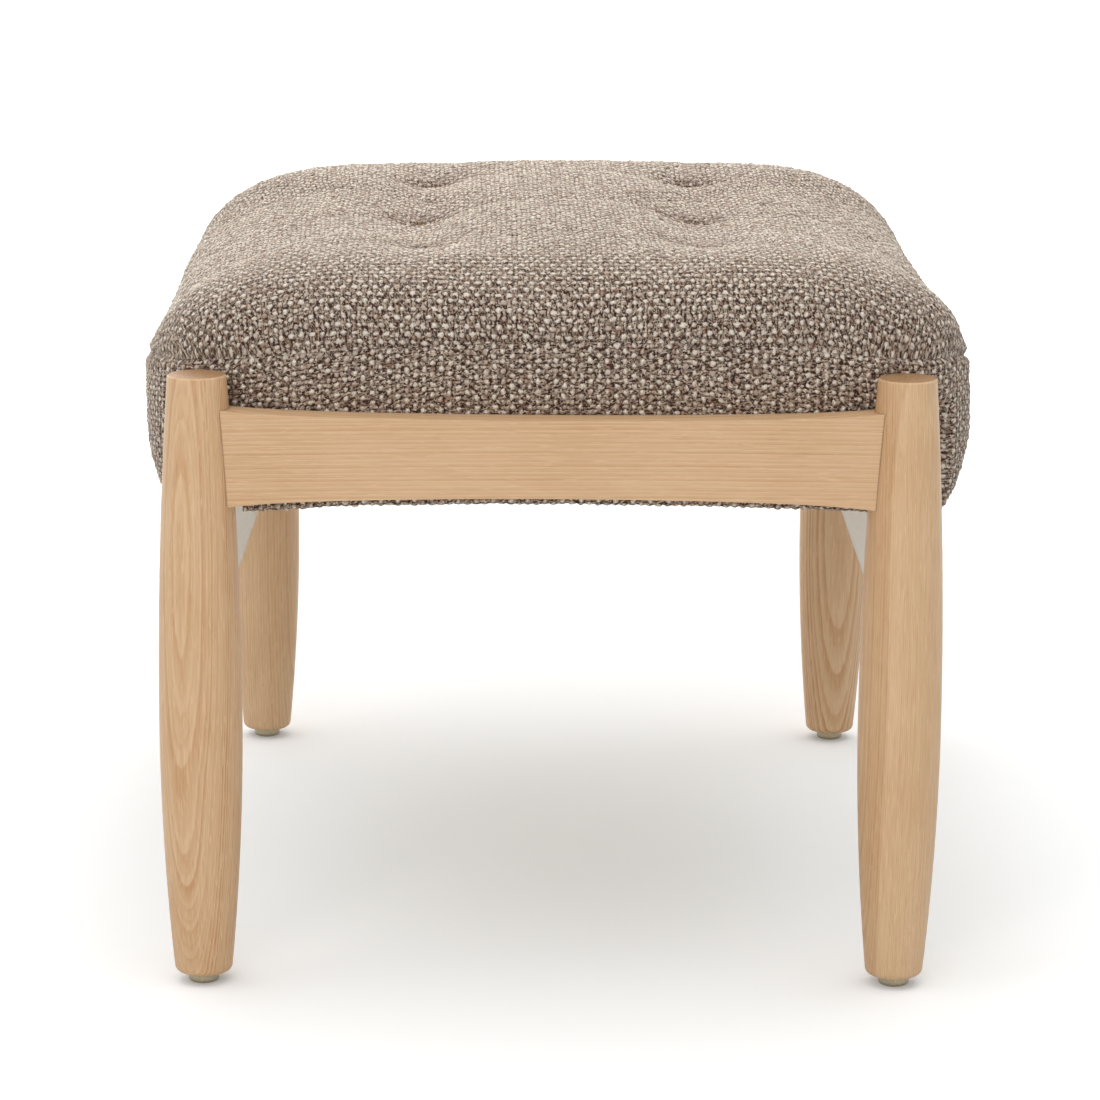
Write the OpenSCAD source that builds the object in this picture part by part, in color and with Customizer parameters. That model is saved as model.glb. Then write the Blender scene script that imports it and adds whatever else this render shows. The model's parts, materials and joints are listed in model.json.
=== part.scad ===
// Tufted footstool: four turned ash legs, two bowed show rails and an upholstered seat
// whose side rails hang lower than its ends. Origin on the floor under the middle, +Z up.
// X runs across the stool from left to right, Y runs along it from front to back.

/* [Stance] */
// Distance between the leg axes, left to right
leg_spacing_x = 420; // [400:1:440]
// Distance between the leg axes, front to back
leg_spacing_y = 585; // [560:1:620]

/* [Legs] */
// Height of the flat top of each leg
leg_top_z = 374; // [366:1:386]
// Radius at the belly, the thickest place
leg_belly_r = 25; // [23:0.5:26]
// Height of the belly
leg_belly_z = 165; // [140:1:190]
// Radius at the flat top
leg_top_r = 17.5; // [16:0.5:18.5]
// Radius just above the rounded foot
leg_foot_r = 17.6; // [15:0.1:19]
// Radius of the rounding at the foot
leg_foot_round = 4.5; // [2:0.5:6]
// Width of the eased edge round the flat top
leg_top_ease = 0.8; // [0.4:0.1:1.5]

/* [Glides] */
// Radius of the glide disc
glide_r = 9.25; // [8:0.25:11]
// Height of the glide disc
glide_h = 6.3; // [5:0.1:8]
// Radius of the rounding under the glide
glide_round = 2; // [1:0.25:3]
// Radius of the glide nail
nail_r = 1.4; // [1:0.1:2]
// Length of the glide nail in the wood
nail_length = 18; // [12:1:25]

/* [Show rails] */
// Thickness of a show rail, front to back
rail_thickness = 20; // [16:1:22]
// How far the outer face stands outside the leg axes
rail_set_out = 13; // [10:0.5:14]
// Height of a show rail at its middle
rail_waist = 47; // [40:1:54]
// Height of the middle of a show rail above the floor
rail_mid_z = 326; // [322:1:328]
// How far the top edge rises towards the legs
rail_top_rise = 5.8; // [2:0.1:8]
// How far the bottom edge drops towards the legs
rail_bottom_drop = 8.3; // [4:0.1:10]

/* [Side rails] */
// Thickness of a side rail
side_rail_thickness = 25; // [20:1:27]
// Height of the top edges of the seat frame
frame_top_z = 350; // [346:1:352]
// Height of a side rail
side_rail_height = 125; // [100:1:140]

/* [End boards] */
// Thickness of an end board
end_board_thickness = 20; // [17:1:22]
// How far the seat's end shows below the show rail
end_strip = 6.4; // [4:0.2:9]
// Space between a leg axis and the end of an end board
end_board_short = 30; // [28:1:36]

/* [Dowels] */
// Radius of a dowel
dowel_r = 5; // [4:0.5:6]
// Length of a dowel
dowel_length = 36; // [30:1:36]
// Height between the two dowels of a show rail joint
rail_dowel_spacing = 30; // [26:1:32]
// Height between the two dowels of a side rail joint
side_dowel_spacing = 42; // [30:1:50]

/* [Corner blocks] */
// Length of the two square sides of a corner block
block_leg = 55; // [50:1:62]
// Height of a corner block
block_height = 45; // [44:1:48]
// Radius of a screw's shank
screw_r = 2; // [1.5:0.25:2.5]
// Radius of a screw's head
screw_head_r = 4; // [3.5:0.25:4.5]
// Length of a screw
screw_length = 40; // [32:1:42]
// Depth of a screw in the rail behind the block
screw_bite = 15; // [12:1:17]

/* [Webbing] */
// Width of a strap that runs across
cross_strap_w = 60; // [40:1:62]
// Width of a strap that runs lengthwise
long_strap_w = 50; // [40:1:56]
// Thickness of the webbing
strap_t = 1.5; // [1:0.1:2]
// Distance between straps that run across
cross_strap_spacing = 130; // [120:1:134]
// Distance between straps that run lengthwise
long_strap_spacing = 87; // [82:1:90]
// Bearing of a strap's end on the frame
strap_seat = 16; // [10:1:18]

/* [Padding] */
// Thickness of the support cloth over the webbing
support_t = 0.8; // [0.5:0.1:1.5]
// Thickness of the wadding over the foam
wadding_top = 26; // [23:0.5:40]
// Least thickness of the wadding at the sides
wadding_side = 11; // [8:1:14]
// Thickness of the wadding at the ends
wadding_end = 5; // [3:0.5:7]

/* [Seat cover] */
// Thickness of the woven cover
cover_t = 2.6; // [1.5:0.1:3.5]
// How far the seat's sides bulge out beyond the leg axes
seat_overhang = 42; // [38:1:46]
// How far above the frame the sides are widest
side_belly_rise = 5; // [2:1:10]
// How far above the frame the ends are fullest
end_belly_rise = 24; // [20:1:28]
// How far the fullest part of an end leans over the show rail
end_lean = 2.4; // [1:0.2:4]
// Height of the crown above the floor
crown_z = 450; // [440:1:465]
// Squareness of the roll at the sides, higher is squarer
side_square = 2.5; // [2.2:0.1:3]
// Squareness of the roll at the ends, higher is squarer
end_square = 4; // [3:0.1:5]
// Squareness of the seat seen from above
plan_square = 8; // [7:0.5:9]
// Share of the side's height over which it tucks in to the rail
tuck_reach = 0.62; // [0.5:0.01:0.8]

/* [Tufts] */
// Distance of the tufts from the middle line
tuft_x = 87; // [80:1:94]
// Distance between the rows of tufts
tuft_y = 146; // [135:1:155]
// Depth of a tuft
tuft_depth = 19; // [10:1:20]
// Radius of the dimple that a tuft draws in
tuft_pull_r = 17; // [12:1:22]
// Radius of the tufting twine
twine_r = 0.9; // [0.6:0.1:1.2]
// Radius of a toggle that anchors a tuft
toggle_r = 4; // [3:0.5:5]
// Length of a toggle
toggle_length = 60; // [50:1:70]

/* [Linings] */
// Thickness of the canvas linings
lining_t = 0.8; // [0.5:0.1:1.5]

/* [Hidden] */
$fn = 64;

ASH = "#cfab87";
BEECH = "#c9a878";
PLY = "#b8976a";
CANVAS = "#d2cabc";
BOUCLE = "#8c7d71";
WHITE = "#f0eee8";
FOAM = "#e8dfa8";
STEEL = "#b8bcc0";
JUTE = "#a58a5c";
WEBBING = "#6d6257";

// Clearances
glue_gap = 0.2;
dowel_gap = 0.1;
dowel_end_gap = 1;
cloth_gap = 0.3;
screw_gap = 0.15;
strap_gap = 0.2;
twine_gap = 0.5;

leg_x = leg_spacing_x / 2;
leg_y = leg_spacing_y / 2;
LEG_STEPS = 14;
QUARTER_STEPS = 6;
LEG_FN = 96;
TWINE_FN = 16;

rail_face_y = leg_y + rail_set_out;
rail_back_y = rail_face_y - rail_thickness;
rail_centre_y = rail_face_y - rail_thickness / 2;
// The rails are cut a little into the line of the legs before they are coped.
rail_cope_reach = 5;
rail_half_x = leg_x - rail_cope_reach;
RAIL_STEPS = 40;
// Share of the rise that is a long bow. The rest is a short flare at the leg.
bow_share = 0.55;
flare_power = 8;

side_inner_x = leg_x - side_rail_thickness / 2;
side_outer_x = leg_x + side_rail_thickness / 2;
side_bottom_z = frame_top_z - side_rail_height;
side_rail_half_y = leg_y - leg_top_r;
side_dowel_rise = 20;
side_dowel_low_z = side_bottom_z + side_dowel_rise;

cover_end_y = rail_back_y - cloth_gap * 2;
board_face_y = cover_end_y - cover_t - wadding_end - 2 * cloth_gap;
board_inner_y = board_face_y - end_board_thickness;
board_half_x = leg_x - end_board_short;

lining_face_x = side_inner_x - lining_t;
block_drop = 4;
block_bottom_z = frame_top_z - block_drop - block_height;
dust_top_z = block_bottom_z;

support_z = frame_top_z + 2 * strap_t + strap_gap;
foam_bottom_z = support_z + support_t;

seat_half_x = leg_x + seat_overhang;
seat_half_y = cover_end_y + end_lean;
// Half the width over which a leg presses the seat in, and how far from a leg's axis the
// hanging side of the cover starts.
notch_half = 19;
side_line = 11;
side_belly_z = frame_top_z + side_belly_rise;
end_belly_z = frame_top_z + end_belly_rise;
notch_y = leg_y - leg_r(frame_top_z) - 2 * cloth_gap;

function sq(v) = v * v;

// Radius of a turned leg at height z: two shallow arcs that meet at the belly.
function leg_r(z) =
  z > leg_belly_z
  ? leg_belly_r - (leg_belly_r - leg_top_r) * sq((z - leg_belly_z) / (leg_top_z - leg_belly_z))
  : leg_belly_r - (leg_belly_r - leg_foot_r) * sq((leg_belly_z - z) / (leg_belly_z - leg_foot_z));
leg_foot_z = glide_h + leg_foot_round;
leg_ease_z = leg_top_z - leg_top_ease;

// Outline of a turned leg, grown by a gap for what is coped round it.
function leg_outline(gap) = concat(
  [[0, glide_h]],
  [for (k = [0 : QUARTER_STEPS - 1]) let (a = 90 * k / QUARTER_STEPS)
    [leg_foot_r - leg_foot_round * (1 - sin(a)) + gap, glide_h + leg_foot_round * (1 - cos(a))]],
  [for (k = [0 : LEG_STEPS - 1])
    let (z = leg_foot_z + (leg_belly_z - leg_foot_z) * k / LEG_STEPS)
    [leg_r(z) + gap, z]],
  [for (k = [0 : LEG_STEPS])
    let (z = leg_belly_z + (leg_ease_z - leg_belly_z) * k / LEG_STEPS)
    [leg_r(z) + gap, z]],
  [[leg_top_r - leg_top_ease + gap, leg_top_z], [0, leg_top_z]]
);

module leg_form(gap) {
  rotate_extrude($fn = LEG_FN) polygon(leg_outline(gap));
}

module at_legs() {
  for (sx = [-1, 1]) for (sy = [-1, 1]) translate([sx * leg_x, sy * leg_y, 0]) children();
}

// Height of the show rail's top and bottom edges at a distance x from the middle.
function bow(x) =
  let (u = abs(x) / rail_half_x) bow_share * u * u + (1 - bow_share) * pow(u, flare_power);
function rail_top(x) = rail_mid_z + rail_waist / 2 + rail_top_rise * bow(x);
function rail_bottom(x) = rail_mid_z - rail_waist / 2 - rail_bottom_drop * bow(x);

module dowel(extra_r, extra_end) {
  cylinder(r = dowel_r + extra_r, h = dowel_length + 2 * extra_end, center = true);
}

// The dowels between a show rail and its legs lie along X, half in each piece.
module rail_dowel_set(extra_r, extra_end) {
  for (sx = [-1, 1]) for (sy = [-1, 1]) for (sz = [-1, 1])
    translate([sx * (leg_x - leg_r(rail_mid_z)), sy * rail_centre_y,
               rail_mid_z + sz * rail_dowel_spacing / 2])
      rotate([0, 90, 0]) dowel(extra_r, extra_end);
}

// The dowels between a side rail and its legs lie along Y, below those of the show rails.
module side_dowel_set(extra_r, extra_end) {
  for (sx = [-1, 1]) for (sy = [-1, 1]) for (k = [0, 1])
    translate([sx * leg_x, sy * (leg_y - leg_r(side_dowel_low_z)),
               side_dowel_low_z + k * side_dowel_spacing])
      rotate([90, 0, 0]) dowel(extra_r, extra_end);
}

module leg(sx, sy) {
  color(ASH) difference() {
    translate([sx * leg_x, sy * leg_y, 0]) leg_form(0);
    rail_dowel_set(dowel_gap, dowel_end_gap);
    side_dowel_set(dowel_gap, dowel_end_gap);
    translate([sx * leg_x, sy * leg_y, 0])
      cylinder(r = nail_r + dowel_gap, h = glide_h + nail_length + dowel_end_gap);
  }
}

module glide(sx, sy) {
  color(STEEL) translate([sx * leg_x, sy * leg_y, 0]) difference() {
    rotate_extrude() polygon(concat(
      [[0, 0]],
      [for (k = [0 : QUARTER_STEPS]) let (a = 90 * k / QUARTER_STEPS)
        [glide_r - glide_round * (1 - sin(a)), glide_round * (1 - cos(a))]],
      [[glide_r, glide_h], [0, glide_h]]));
    translate([0, 0, glide_round]) cylinder(r = nail_r + dowel_gap, h = glide_h);
  }
}

module glide_nails() {
  color(STEEL) at_legs() translate([0, 0, glide_round + dowel_gap])
    cylinder(r = nail_r, h = glide_h - glide_round + nail_length);
}

module show_rail(sy) {
  color(ASH) difference() {
    translate([0, sy > 0 ? rail_face_y : -rail_back_y, 0]) rotate([90, 0, 0])
      linear_extrude(height = rail_thickness) polygon(concat(
        [for (k = [0 : RAIL_STEPS])
          let (x = rail_half_x * (2 * k / RAIL_STEPS - 1)) [x, rail_bottom(x)]],
        [for (k = [0 : RAIL_STEPS])
          let (x = rail_half_x * (1 - 2 * k / RAIL_STEPS)) [x, rail_top(x)]]));
    at_legs() leg_form(glue_gap);
    rail_dowel_set(dowel_gap, dowel_end_gap);
  }
}

module rail_dowels() {
  color(BEECH) rail_dowel_set(0, 0);
}

module side_rail(sx) {
  color(BEECH) difference() {
    translate([sx > 0 ? side_inner_x : -side_outer_x, -side_rail_half_y, side_bottom_z])
      cube([side_rail_thickness, 2 * side_rail_half_y, side_rail_height]);
    at_legs() leg_form(glue_gap);
    side_dowel_set(dowel_gap, dowel_end_gap);
    block_screw_set(screw_gap);
  }
}

module side_rail_dowels() {
  color(BEECH) side_dowel_set(0, 0);
}

// An end board stands behind each show rail, and its lower edge follows the rail's bow.
module end_board(sy) {
  color(PLY) difference() {
    translate([0, sy > 0 ? board_face_y : -board_inner_y, 0]) rotate([90, 0, 0])
      linear_extrude(height = end_board_thickness) polygon(concat(
        [for (k = [0 : RAIL_STEPS])
          let (x = board_half_x * (2 * k / RAIL_STEPS - 1))
          [x, rail_bottom(x) - end_strip + cover_t + cloth_gap]],
        [[board_half_x, frame_top_z], [-board_half_x, frame_top_z]]));
    block_screw_set(screw_gap);
  }
}

// A screw along +Z with its head at the bottom, from the head's outer face.
module screw(gap) {
  cylinder(r = screw_r + gap, h = screw_length + gap);
  cylinder(r1 = screw_head_r + gap, r2 = screw_r + gap, h = screw_head_r);
}

block_inset = 21;
block_screw_z = [6, 26];
block_screw_shift = 10;

// Puts a form that stands along +Z at each screw of the blocks, its foot so far from the
// rails' inner faces. One pair of screws goes into the side rail, the other into the board.
module at_block_screws(back) {
  for (sx = [0, 1]) for (sy = [0, 1]) mirror([sx, 0, 0]) mirror([0, sy, 0])
    translate([side_inner_x, board_inner_y, block_bottom_z]) for (z = block_screw_z) {
      translate([-back, -block_inset, z]) rotate([0, 90, 0]) children();
      translate([-block_inset, -back, z + block_screw_shift]) rotate([-90, 0, 0]) children();
    }
}

module block_screw_set(gap) {
  at_block_screws(screw_length - screw_bite) screw(gap);
}

// Counterbores from the sloping face down to the screws' heads.
module block_bore_set() {
  at_block_screws(block_leg)
    cylinder(r = screw_head_r + screw_gap, h = block_leg - screw_length + screw_bite);
}

// A triangular block glued and screwed into each corner of the seat frame.
module corner_block(sx, sy) {
  color(PLY) difference() {
    translate([sx * side_inner_x, sy * board_inner_y, block_bottom_z])
      linear_extrude(height = block_height)
        polygon([[0, 0], [-sx * block_leg, 0], [0, -sy * block_leg]]);
    block_screw_set(screw_gap);
    block_bore_set();
  }
}

module block_screws() {
  color(STEEL) block_screw_set(0);
}

// The webbing is a plain weave. A strap lies low or high where it crosses the others.
strap_low_z = frame_top_z;
strap_high_z = frame_top_z + strap_t + strap_gap;
cross_places = [-1.5, -0.5, 0.5, 1.5];

strap_step = 2;

function strap_path(half_length, pitch, width, phase) = concat(
  [[-half_length, strap_low_z]],
  [for (k = [0 : len(cross_places) - 1])
    let (s = cross_places[k] * pitch,
         half = width / 2 + strap_step,
         z = (k + phase) % 2 == 0 ? strap_low_z : strap_high_z)
    each [[s - half, z], [s + half, z]]],
  [[half_length, strap_low_z]]
);

module strap(path, width) {
  translate([0, width / 2, 0]) rotate([90, 0, 0]) linear_extrude(height = width)
    polygon(concat(path, [for (k = [len(path) - 1 : -1 : 0]) path[k] + [0, strap_t]]));
}

module cross_strap(k) {
  color(WEBBING) translate([0, cross_places[k] * cross_strap_spacing, 0])
    strap(strap_path(side_inner_x + strap_seat, long_strap_spacing, long_strap_w, k), cross_strap_w);
}

module long_strap(k) {
  color(WEBBING) translate([cross_places[k] * long_strap_spacing, 0, 0]) rotate([0, 0, 90])
    strap(strap_path(board_inner_y + strap_seat, cross_strap_spacing, cross_strap_w, k + 1),
      long_strap_w);
}

// The places of the blind tufts, and what is drilled for their twine.
tuft_places = [for (x = [-tuft_x, tuft_x]) for (y = [-tuft_y, 0, tuft_y]) [x, y]];

module twine_holes() {
  for (p = tuft_places) translate([p.x, p.y, frame_top_z])
    cylinder(r = twine_r + twine_gap, h = crown_z, $fn = TWINE_FN);
}

support_half_x = side_inner_x + strap_seat;
support_half_y = board_inner_y + strap_seat;
// The cloth's corners are cut off clear of the legs.
support_margin = 8;
support_cut_x = board_half_x - support_margin;
support_cut_y = support_half_y - (support_half_x - support_cut_x);

module support_cloth() {
  color(JUTE) difference() {
    translate([0, 0, support_z]) linear_extrude(height = support_t) polygon([
      [support_half_x, support_cut_y], [support_cut_x, support_half_y],
      [-support_cut_x, support_half_y], [-support_half_x, support_cut_y],
      [-support_half_x, -support_cut_y], [-support_cut_x, -support_half_y],
      [support_cut_x, -support_half_y], [support_half_x, -support_cut_y]]);
    twine_holes();
  }
}

// The padded forms share one grid of lines, given as distances from the middle. They stand
// close together at the tufts and at the legs, where the form changes fastest.
tuft_line = 14;
leg_lines_x = [-20, -8, 14];
leg_lines_y = [-82, -46, -22];
roll_share = 0.75;
x_lines = concat(
  [0, tuft_x / 2, tuft_x - tuft_line, tuft_x, tuft_x + tuft_line, (tuft_x + leg_x) / 2],
  [for (d = leg_lines_x) leg_x + d],
  [leg_x + seat_overhang * roll_share, seat_half_x]);
y_lines = concat(
  [0, tuft_line, tuft_y - tuft_line, tuft_y, tuft_y + tuft_line],
  [for (d = leg_lines_y) leg_y + d],
  [seat_half_y]);
NX = 2 * (len(x_lines) - 1);
NY = 2 * (len(y_lines) - 1);
LOOP = 2 * (NX + NY);

function mirrored(lines, k) = let (h = len(lines) - 1) k < h ? -lines[h - k] : lines[k - h];
function grid_i(k) = mirrored(x_lines, k) / seat_half_x;
function grid_j(k) = mirrored(y_lines, k) / seat_half_y;

function plan_sum(i, j) = pow(abs(i), plan_square) + pow(abs(j), plan_square);
// Share of an end in a direction from the middle: 0 towards a side, 1 towards an end.
function end_share(i, j) = plan_sum(i, j) == 0 ? 0 : pow(abs(j), plan_square) / plan_sum(i, j);
function reach(i, j) = max(abs(i), abs(j));
function plan_scale(i, j) = plan_sum(i, j) == 0 ? 1 : reach(i, j) / pow(plan_sum(i, j), 1 / plan_square);

function tuft_pull(x, y) =
  max([for (p = tuft_places) exp(-(sq(x - p.x) + sq(y - p.y)) / sq(tuft_pull_r))]);

// The form steps back behind each leg.
function clear_of_leg(x, y, inset) =
  abs(abs(x) - leg_x) < notch_half ? sign(y) * min(abs(y), notch_y - inset) : y;

function belly_z(i, j) = side_belly_z + (end_belly_z - side_belly_z) * end_share(i, j);

// A point of the crowned top at grid place i, j. Inset is its depth under the cover's face.
function crown_point(i, j, half_x, half_y, top, depth, inset) =
  let (c = reach(i, j),
       s = plan_scale(i, j),
       n = side_square + (end_square - side_square) * end_share(i, j),
       x = i * half_x * s,
       y = clear_of_leg(seat_x(i, j), j * half_y * s, inset),
       z0 = belly_z(i, j),
       roll = pow(max(0, 1 - pow(c, n)), 1 / n))
  [x, y, z0 + (top - z0) * roll - depth * tuft_pull(i * seat_half_x, j * seat_half_y)];

function crown_points(half_x, half_y, top, depth, inset) =
  [for (b = [0 : NY]) for (a = [0 : NX])
    crown_point(grid_i(a), grid_j(b), half_x, half_y, top, depth, inset)];

// Grid places round the border, anticlockwise seen from above.
border = concat(
  [for (a = [0 : NX - 1]) [a, 0]],
  [for (b = [0 : NY - 1]) [NX, b]],
  [for (a = [NX : -1 : 1]) [a, NY]],
  [for (b = [NY : -1 : 1]) [0, b]]
);
function border_index(k) = let (p = border[k % LOOP]) p.y * (NX + 1) + p.x;

// The places of the border that hang outside a side rail, and those that a leg presses in.
function seat_x(i, j) = i * plan_scale(i, j) * seat_half_x;
function on_side(i, j) = abs(seat_x(i, j)) > leg_x + side_line;
function behind_leg(i, j) =
  abs(i) < 1 && abs(j) == 1 && abs(abs(seat_x(i, j)) - leg_x) < notch_half;

// Height of the cover's hem: under the side rails, just above the frame behind the legs,
// and below the show rails at the ends.
leg_hem_rise = 2;
function hem_z(i, j) =
  behind_leg(i, j) ? frame_top_z + leg_hem_rise
  : on_side(i, j) ? side_bottom_z
  : rail_bottom(seat_x(i, j)) - end_strip;

// A skirt ring lies at a share of the way down from the belly to the hem. The shares are
// those along the sides and along the ends.
function skirt_share(i, j, shares) = shares[on_side(i, j) ? 0 : 1];
function skirt_z(i, j, shares) =
  let (z0 = belly_z(i, j)) z0 + (hem_z(i, j) - z0) * skirt_share(i, j, shares);

// How far the skirt has tucked in at a share s of its height.
function tuck(s) = (1 - cos(180 * min(1, s / tuck_reach))) / 2;
end_tuck_reach = 0.22;
// The skirt's corner edge is drawn along the side rail to this distance from the leg's axis.
leg_draw = 20.5;
corner_inset = 2.6;

function skirt_ring(shares, half_x, half_y, hem_x, hem_y, inset) =
  [for (p = border)
    let (i = grid_i(p.x),
         j = grid_j(p.y),
         w = plan_scale(i, j),
         s = skirt_share(i, j, shares),
         belly_x = i * w * half_x,
         x = on_side(i, j) ? belly_x + (sign(i) * hem_x - belly_x) * tuck(s) : belly_x,
         y = j * w * (half_y + (hem_y - half_y) * min(1, s / end_tuck_reach)),
         drawn_y = y + (sign(j) * (leg_y - leg_draw - corner_inset * inset) - y) * tuck(s))
    [x,
     abs(i) == abs(j) ? drawn_y : clear_of_leg(seat_x(i, j), y, inset),
     skirt_z(i, j, shares)]];

function flip(faces, on) = on ? [for (f = faces) [f[2], f[1], f[0]]] : faces;

function grid_faces(base) =
  [for (b = [0 : NY - 1]) for (a = [0 : NX - 1])
    let (p = base + b * (NX + 1) + a, q = p + NX + 1)
    each (a < NX / 2) == (b < NY / 2)
      ? [[p, q, q + 1], [p, q + 1, p + 1]]
      : [[p, q, p + 1], [p + 1, q, q + 1]]];

function border_faces(base, ring) =
  [for (k = [0 : LOOP - 1])
    let (a = base + border_index(k),
         b = base + border_index(k + 1),
         c = ring + k,
         d = ring + (k + 1) % LOOP)
    each [[a, b, d], [a, d, c]]];

function ring_faces(upper, lower) =
  [for (k = [0 : LOOP - 1])
    let (k2 = (k + 1) % LOOP)
    each [[upper + k, upper + k2, lower + k2], [upper + k, lower + k2, lower + k]]];

GRID = (NX + 1) * (NY + 1);
// Shares of the skirt's height at which its rings lie, along the sides and along the ends.
cover_outer_shares = [[0.13, 0.13], [0.3, 0.3], [0.52, 0.6], [1, 1]];
cover_inner_shares = [[0.22, 0.22], [0.5, 0.5], [1, 1]];
wadding_shares = [[0.22, 0.22], [0.42, 0.85]];

// The crown's grid and the rings under it, as one open skin. Turned inward for an inner face.
function skin_faces(base, rings, inward) = flip(concat(
  grid_faces(base),
  border_faces(base, base + GRID),
  [for (r = [1 : rings - 1]) each ring_faces(base + GRID + (r - 1) * LOOP, base + GRID + r * LOOP)]
), inward);

// Two skins joined at their lowest rings.
module shell(outer, inner) {
  shift = len(outer);
  rings_out = (shift - GRID) / LOOP;
  rings_in = (len(inner) - GRID) / LOOP;
  polyhedron(points = concat(outer, inner), faces = concat(
    skin_faces(0, rings_out, false),
    ring_faces(shift - LOOP, shift + len(inner) - LOOP),
    skin_faces(shift, rings_in, true)));
}

module seat_cover() {
  outer = concat(
    crown_points(seat_half_x, seat_half_y, crown_z, tuft_depth, 0),
    [for (s = cover_outer_shares)
      each skirt_ring(s, seat_half_x, seat_half_y, side_outer_x + cloth_gap + cover_t, cover_end_y, 0)]);
  inner = concat(
    crown_points(seat_half_x - cover_t, seat_half_y - cover_t, crown_z - cover_t, tuft_depth, cover_t),
    [for (s = cover_inner_shares)
      each skirt_ring(s, seat_half_x - cover_t, seat_half_y - cover_t,
        side_outer_x + cloth_gap, cover_end_y - cover_t, cover_t)]);
  color(BOUCLE) shell(outer, inner);
}

wadding_inset = cover_t + 3 * cloth_gap;
// The foam stands this much further back from the legs than the wadding.
leg_wadding = 3;
wadding_notch = wadding_inset + leg_wadding;
ledge_slope = 2;
foam_half_x = seat_half_x - cover_t - wadding_side - 2 * cloth_gap;
foam_half_y = board_face_y;
foam_top_z = crown_z - wadding_inset - wadding_top - cloth_gap;

// A ring that stands on the frame's outer faces, or on the foam where half_x says so.
function wall_ring(half_x, half_y, end_x, inset) =
  [for (p = border)
    let (i = grid_i(p.x), j = grid_j(p.y), w = plan_scale(i, j))
    [on_side(i, j) ? sign(i) * half_x : i * w * end_x,
     clear_of_leg(seat_x(i, j), on_side(i, j) ? j * w * half_y : sign(j) * half_y, inset)]];
function foam_ring(gap, inset) =
  [for (p = border)
    let (i = grid_i(p.x), j = grid_j(p.y), w = plan_scale(i, j))
    [i * w * (foam_half_x + gap), clear_of_leg(seat_x(i, j), j * w * (foam_half_y + gap), inset)]];
function raise(ring, z) = [for (p = ring) [p.x, p.y, z]];

module wadding() {
  inner_x = foam_half_x + cloth_gap;
  inner_y = foam_half_y + cloth_gap;
  ledge_z = foam_bottom_z - cloth_gap;
  wall = wall_ring(side_outer_x + cloth_gap, inner_y, seat_half_x - wadding_notch, wadding_notch);
  last = wadding_shares[len(wadding_shares) - 1];
  outer = concat(
    crown_points(seat_half_x - wadding_inset, seat_half_y - wadding_inset, crown_z - wadding_inset,
      tuft_depth, wadding_inset),
    [for (s = wadding_shares)
      each skirt_ring(s, seat_half_x - wadding_inset, seat_half_y - wadding_inset,
        side_outer_x + cloth_gap, cover_end_y - wadding_inset, wadding_inset)]);
  inner = concat(
    crown_points(inner_x, inner_y, foam_top_z + cloth_gap, 0, wadding_notch),
    raise(foam_ring(cloth_gap, wadding_notch), ledge_z),
    raise(wall, ledge_z - ledge_slope),
    [for (k = [0 : LOOP - 1])
      [wall[k].x, wall[k].y, skirt_z(grid_i(border[k].x), grid_j(border[k].y), last)]]);
  color(WHITE) difference() {
    shell(outer, inner);
    twine_holes();
  }
}

module foam_block() {
  notch = wadding_notch + cloth_gap;
  top = crown_points(foam_half_x, foam_half_y, foam_top_z, 0, notch);
  low = raise(foam_ring(0, notch), foam_bottom_z);
  centre = GRID + LOOP;
  color(FOAM) difference() {
    polyhedron(points = concat(top, low, [[0, 0, foam_bottom_z]]), faces = concat(
      skin_faces(0, 1, false),
      [for (k = [0 : LOOP - 1]) [GRID + k, GRID + (k + 1) % LOOP, centre]]));
    twine_holes();
  }
}

// Underside of the cover at the bottom of a tuft.
function tuft_floor(p) = crown_point(p.x / seat_half_x, p.y / seat_half_y,
  seat_half_x - cover_t, seat_half_y - cover_t, crown_z - cover_t, tuft_depth, cover_t).z;

module tuft_twines() {
  color(JUTE) for (p = tuft_places) translate([p.x, p.y, frame_top_z])
    cylinder(r = twine_r, h = tuft_floor(p) - cloth_gap - frame_top_z, $fn = TWINE_FN);
}

module tuft_toggles() {
  color(BEECH) for (p = tuft_places) translate([p.x, p.y, frame_top_z - toggle_r])
    rotate([0, 90, 0]) cylinder(r = toggle_r, h = toggle_length, center = true);
}

module lining(sx) {
  color(CANVAS) translate([sx > 0 ? lining_face_x : -side_inner_x, -board_inner_y, side_bottom_z])
    cube([lining_t, 2 * board_inner_y, block_bottom_z - side_bottom_z]);
}

module dust_cover() {
  color(CANVAS) translate([-lining_face_x, -board_inner_y, dust_top_z - lining_t])
    cube([2 * lining_face_x, 2 * board_inner_y, lining_t]);
}

leg(-1, -1);  // front_left_leg
leg(1, -1);  // front_right_leg
leg(-1, 1);  // rear_left_leg
leg(1, 1);  // rear_right_leg
show_rail(-1);  // front_rail
show_rail(1);  // rear_rail
rail_dowels();
side_rail(-1);  // left_side_rail
side_rail(1);  // right_side_rail
side_rail_dowels();
end_board(-1);  // front_end_board
end_board(1);  // rear_end_board
corner_block(-1, -1);  // front_left_block
corner_block(1, -1);  // front_right_block
corner_block(-1, 1);  // rear_left_block
corner_block(1, 1);  // rear_right_block
block_screws();
cross_strap(0);  // cross_strap_1
cross_strap(1);  // cross_strap_2
cross_strap(2);  // cross_strap_3
cross_strap(3);  // cross_strap_4
long_strap(0);  // long_strap_1
long_strap(1);  // long_strap_2
long_strap(2);  // long_strap_3
long_strap(3);  // long_strap_4
support_cloth();
foam_block();
wadding();
seat_cover();
tuft_twines();
tuft_toggles();
lining(-1);  // left_lining
lining(1);  // right_lining
dust_cover();
glide(-1, -1);  // front_left_glide
glide(1, -1);  // front_right_glide
glide(-1, 1);  // rear_left_glide
glide(1, 1);  // rear_right_glide
glide_nails();
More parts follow.
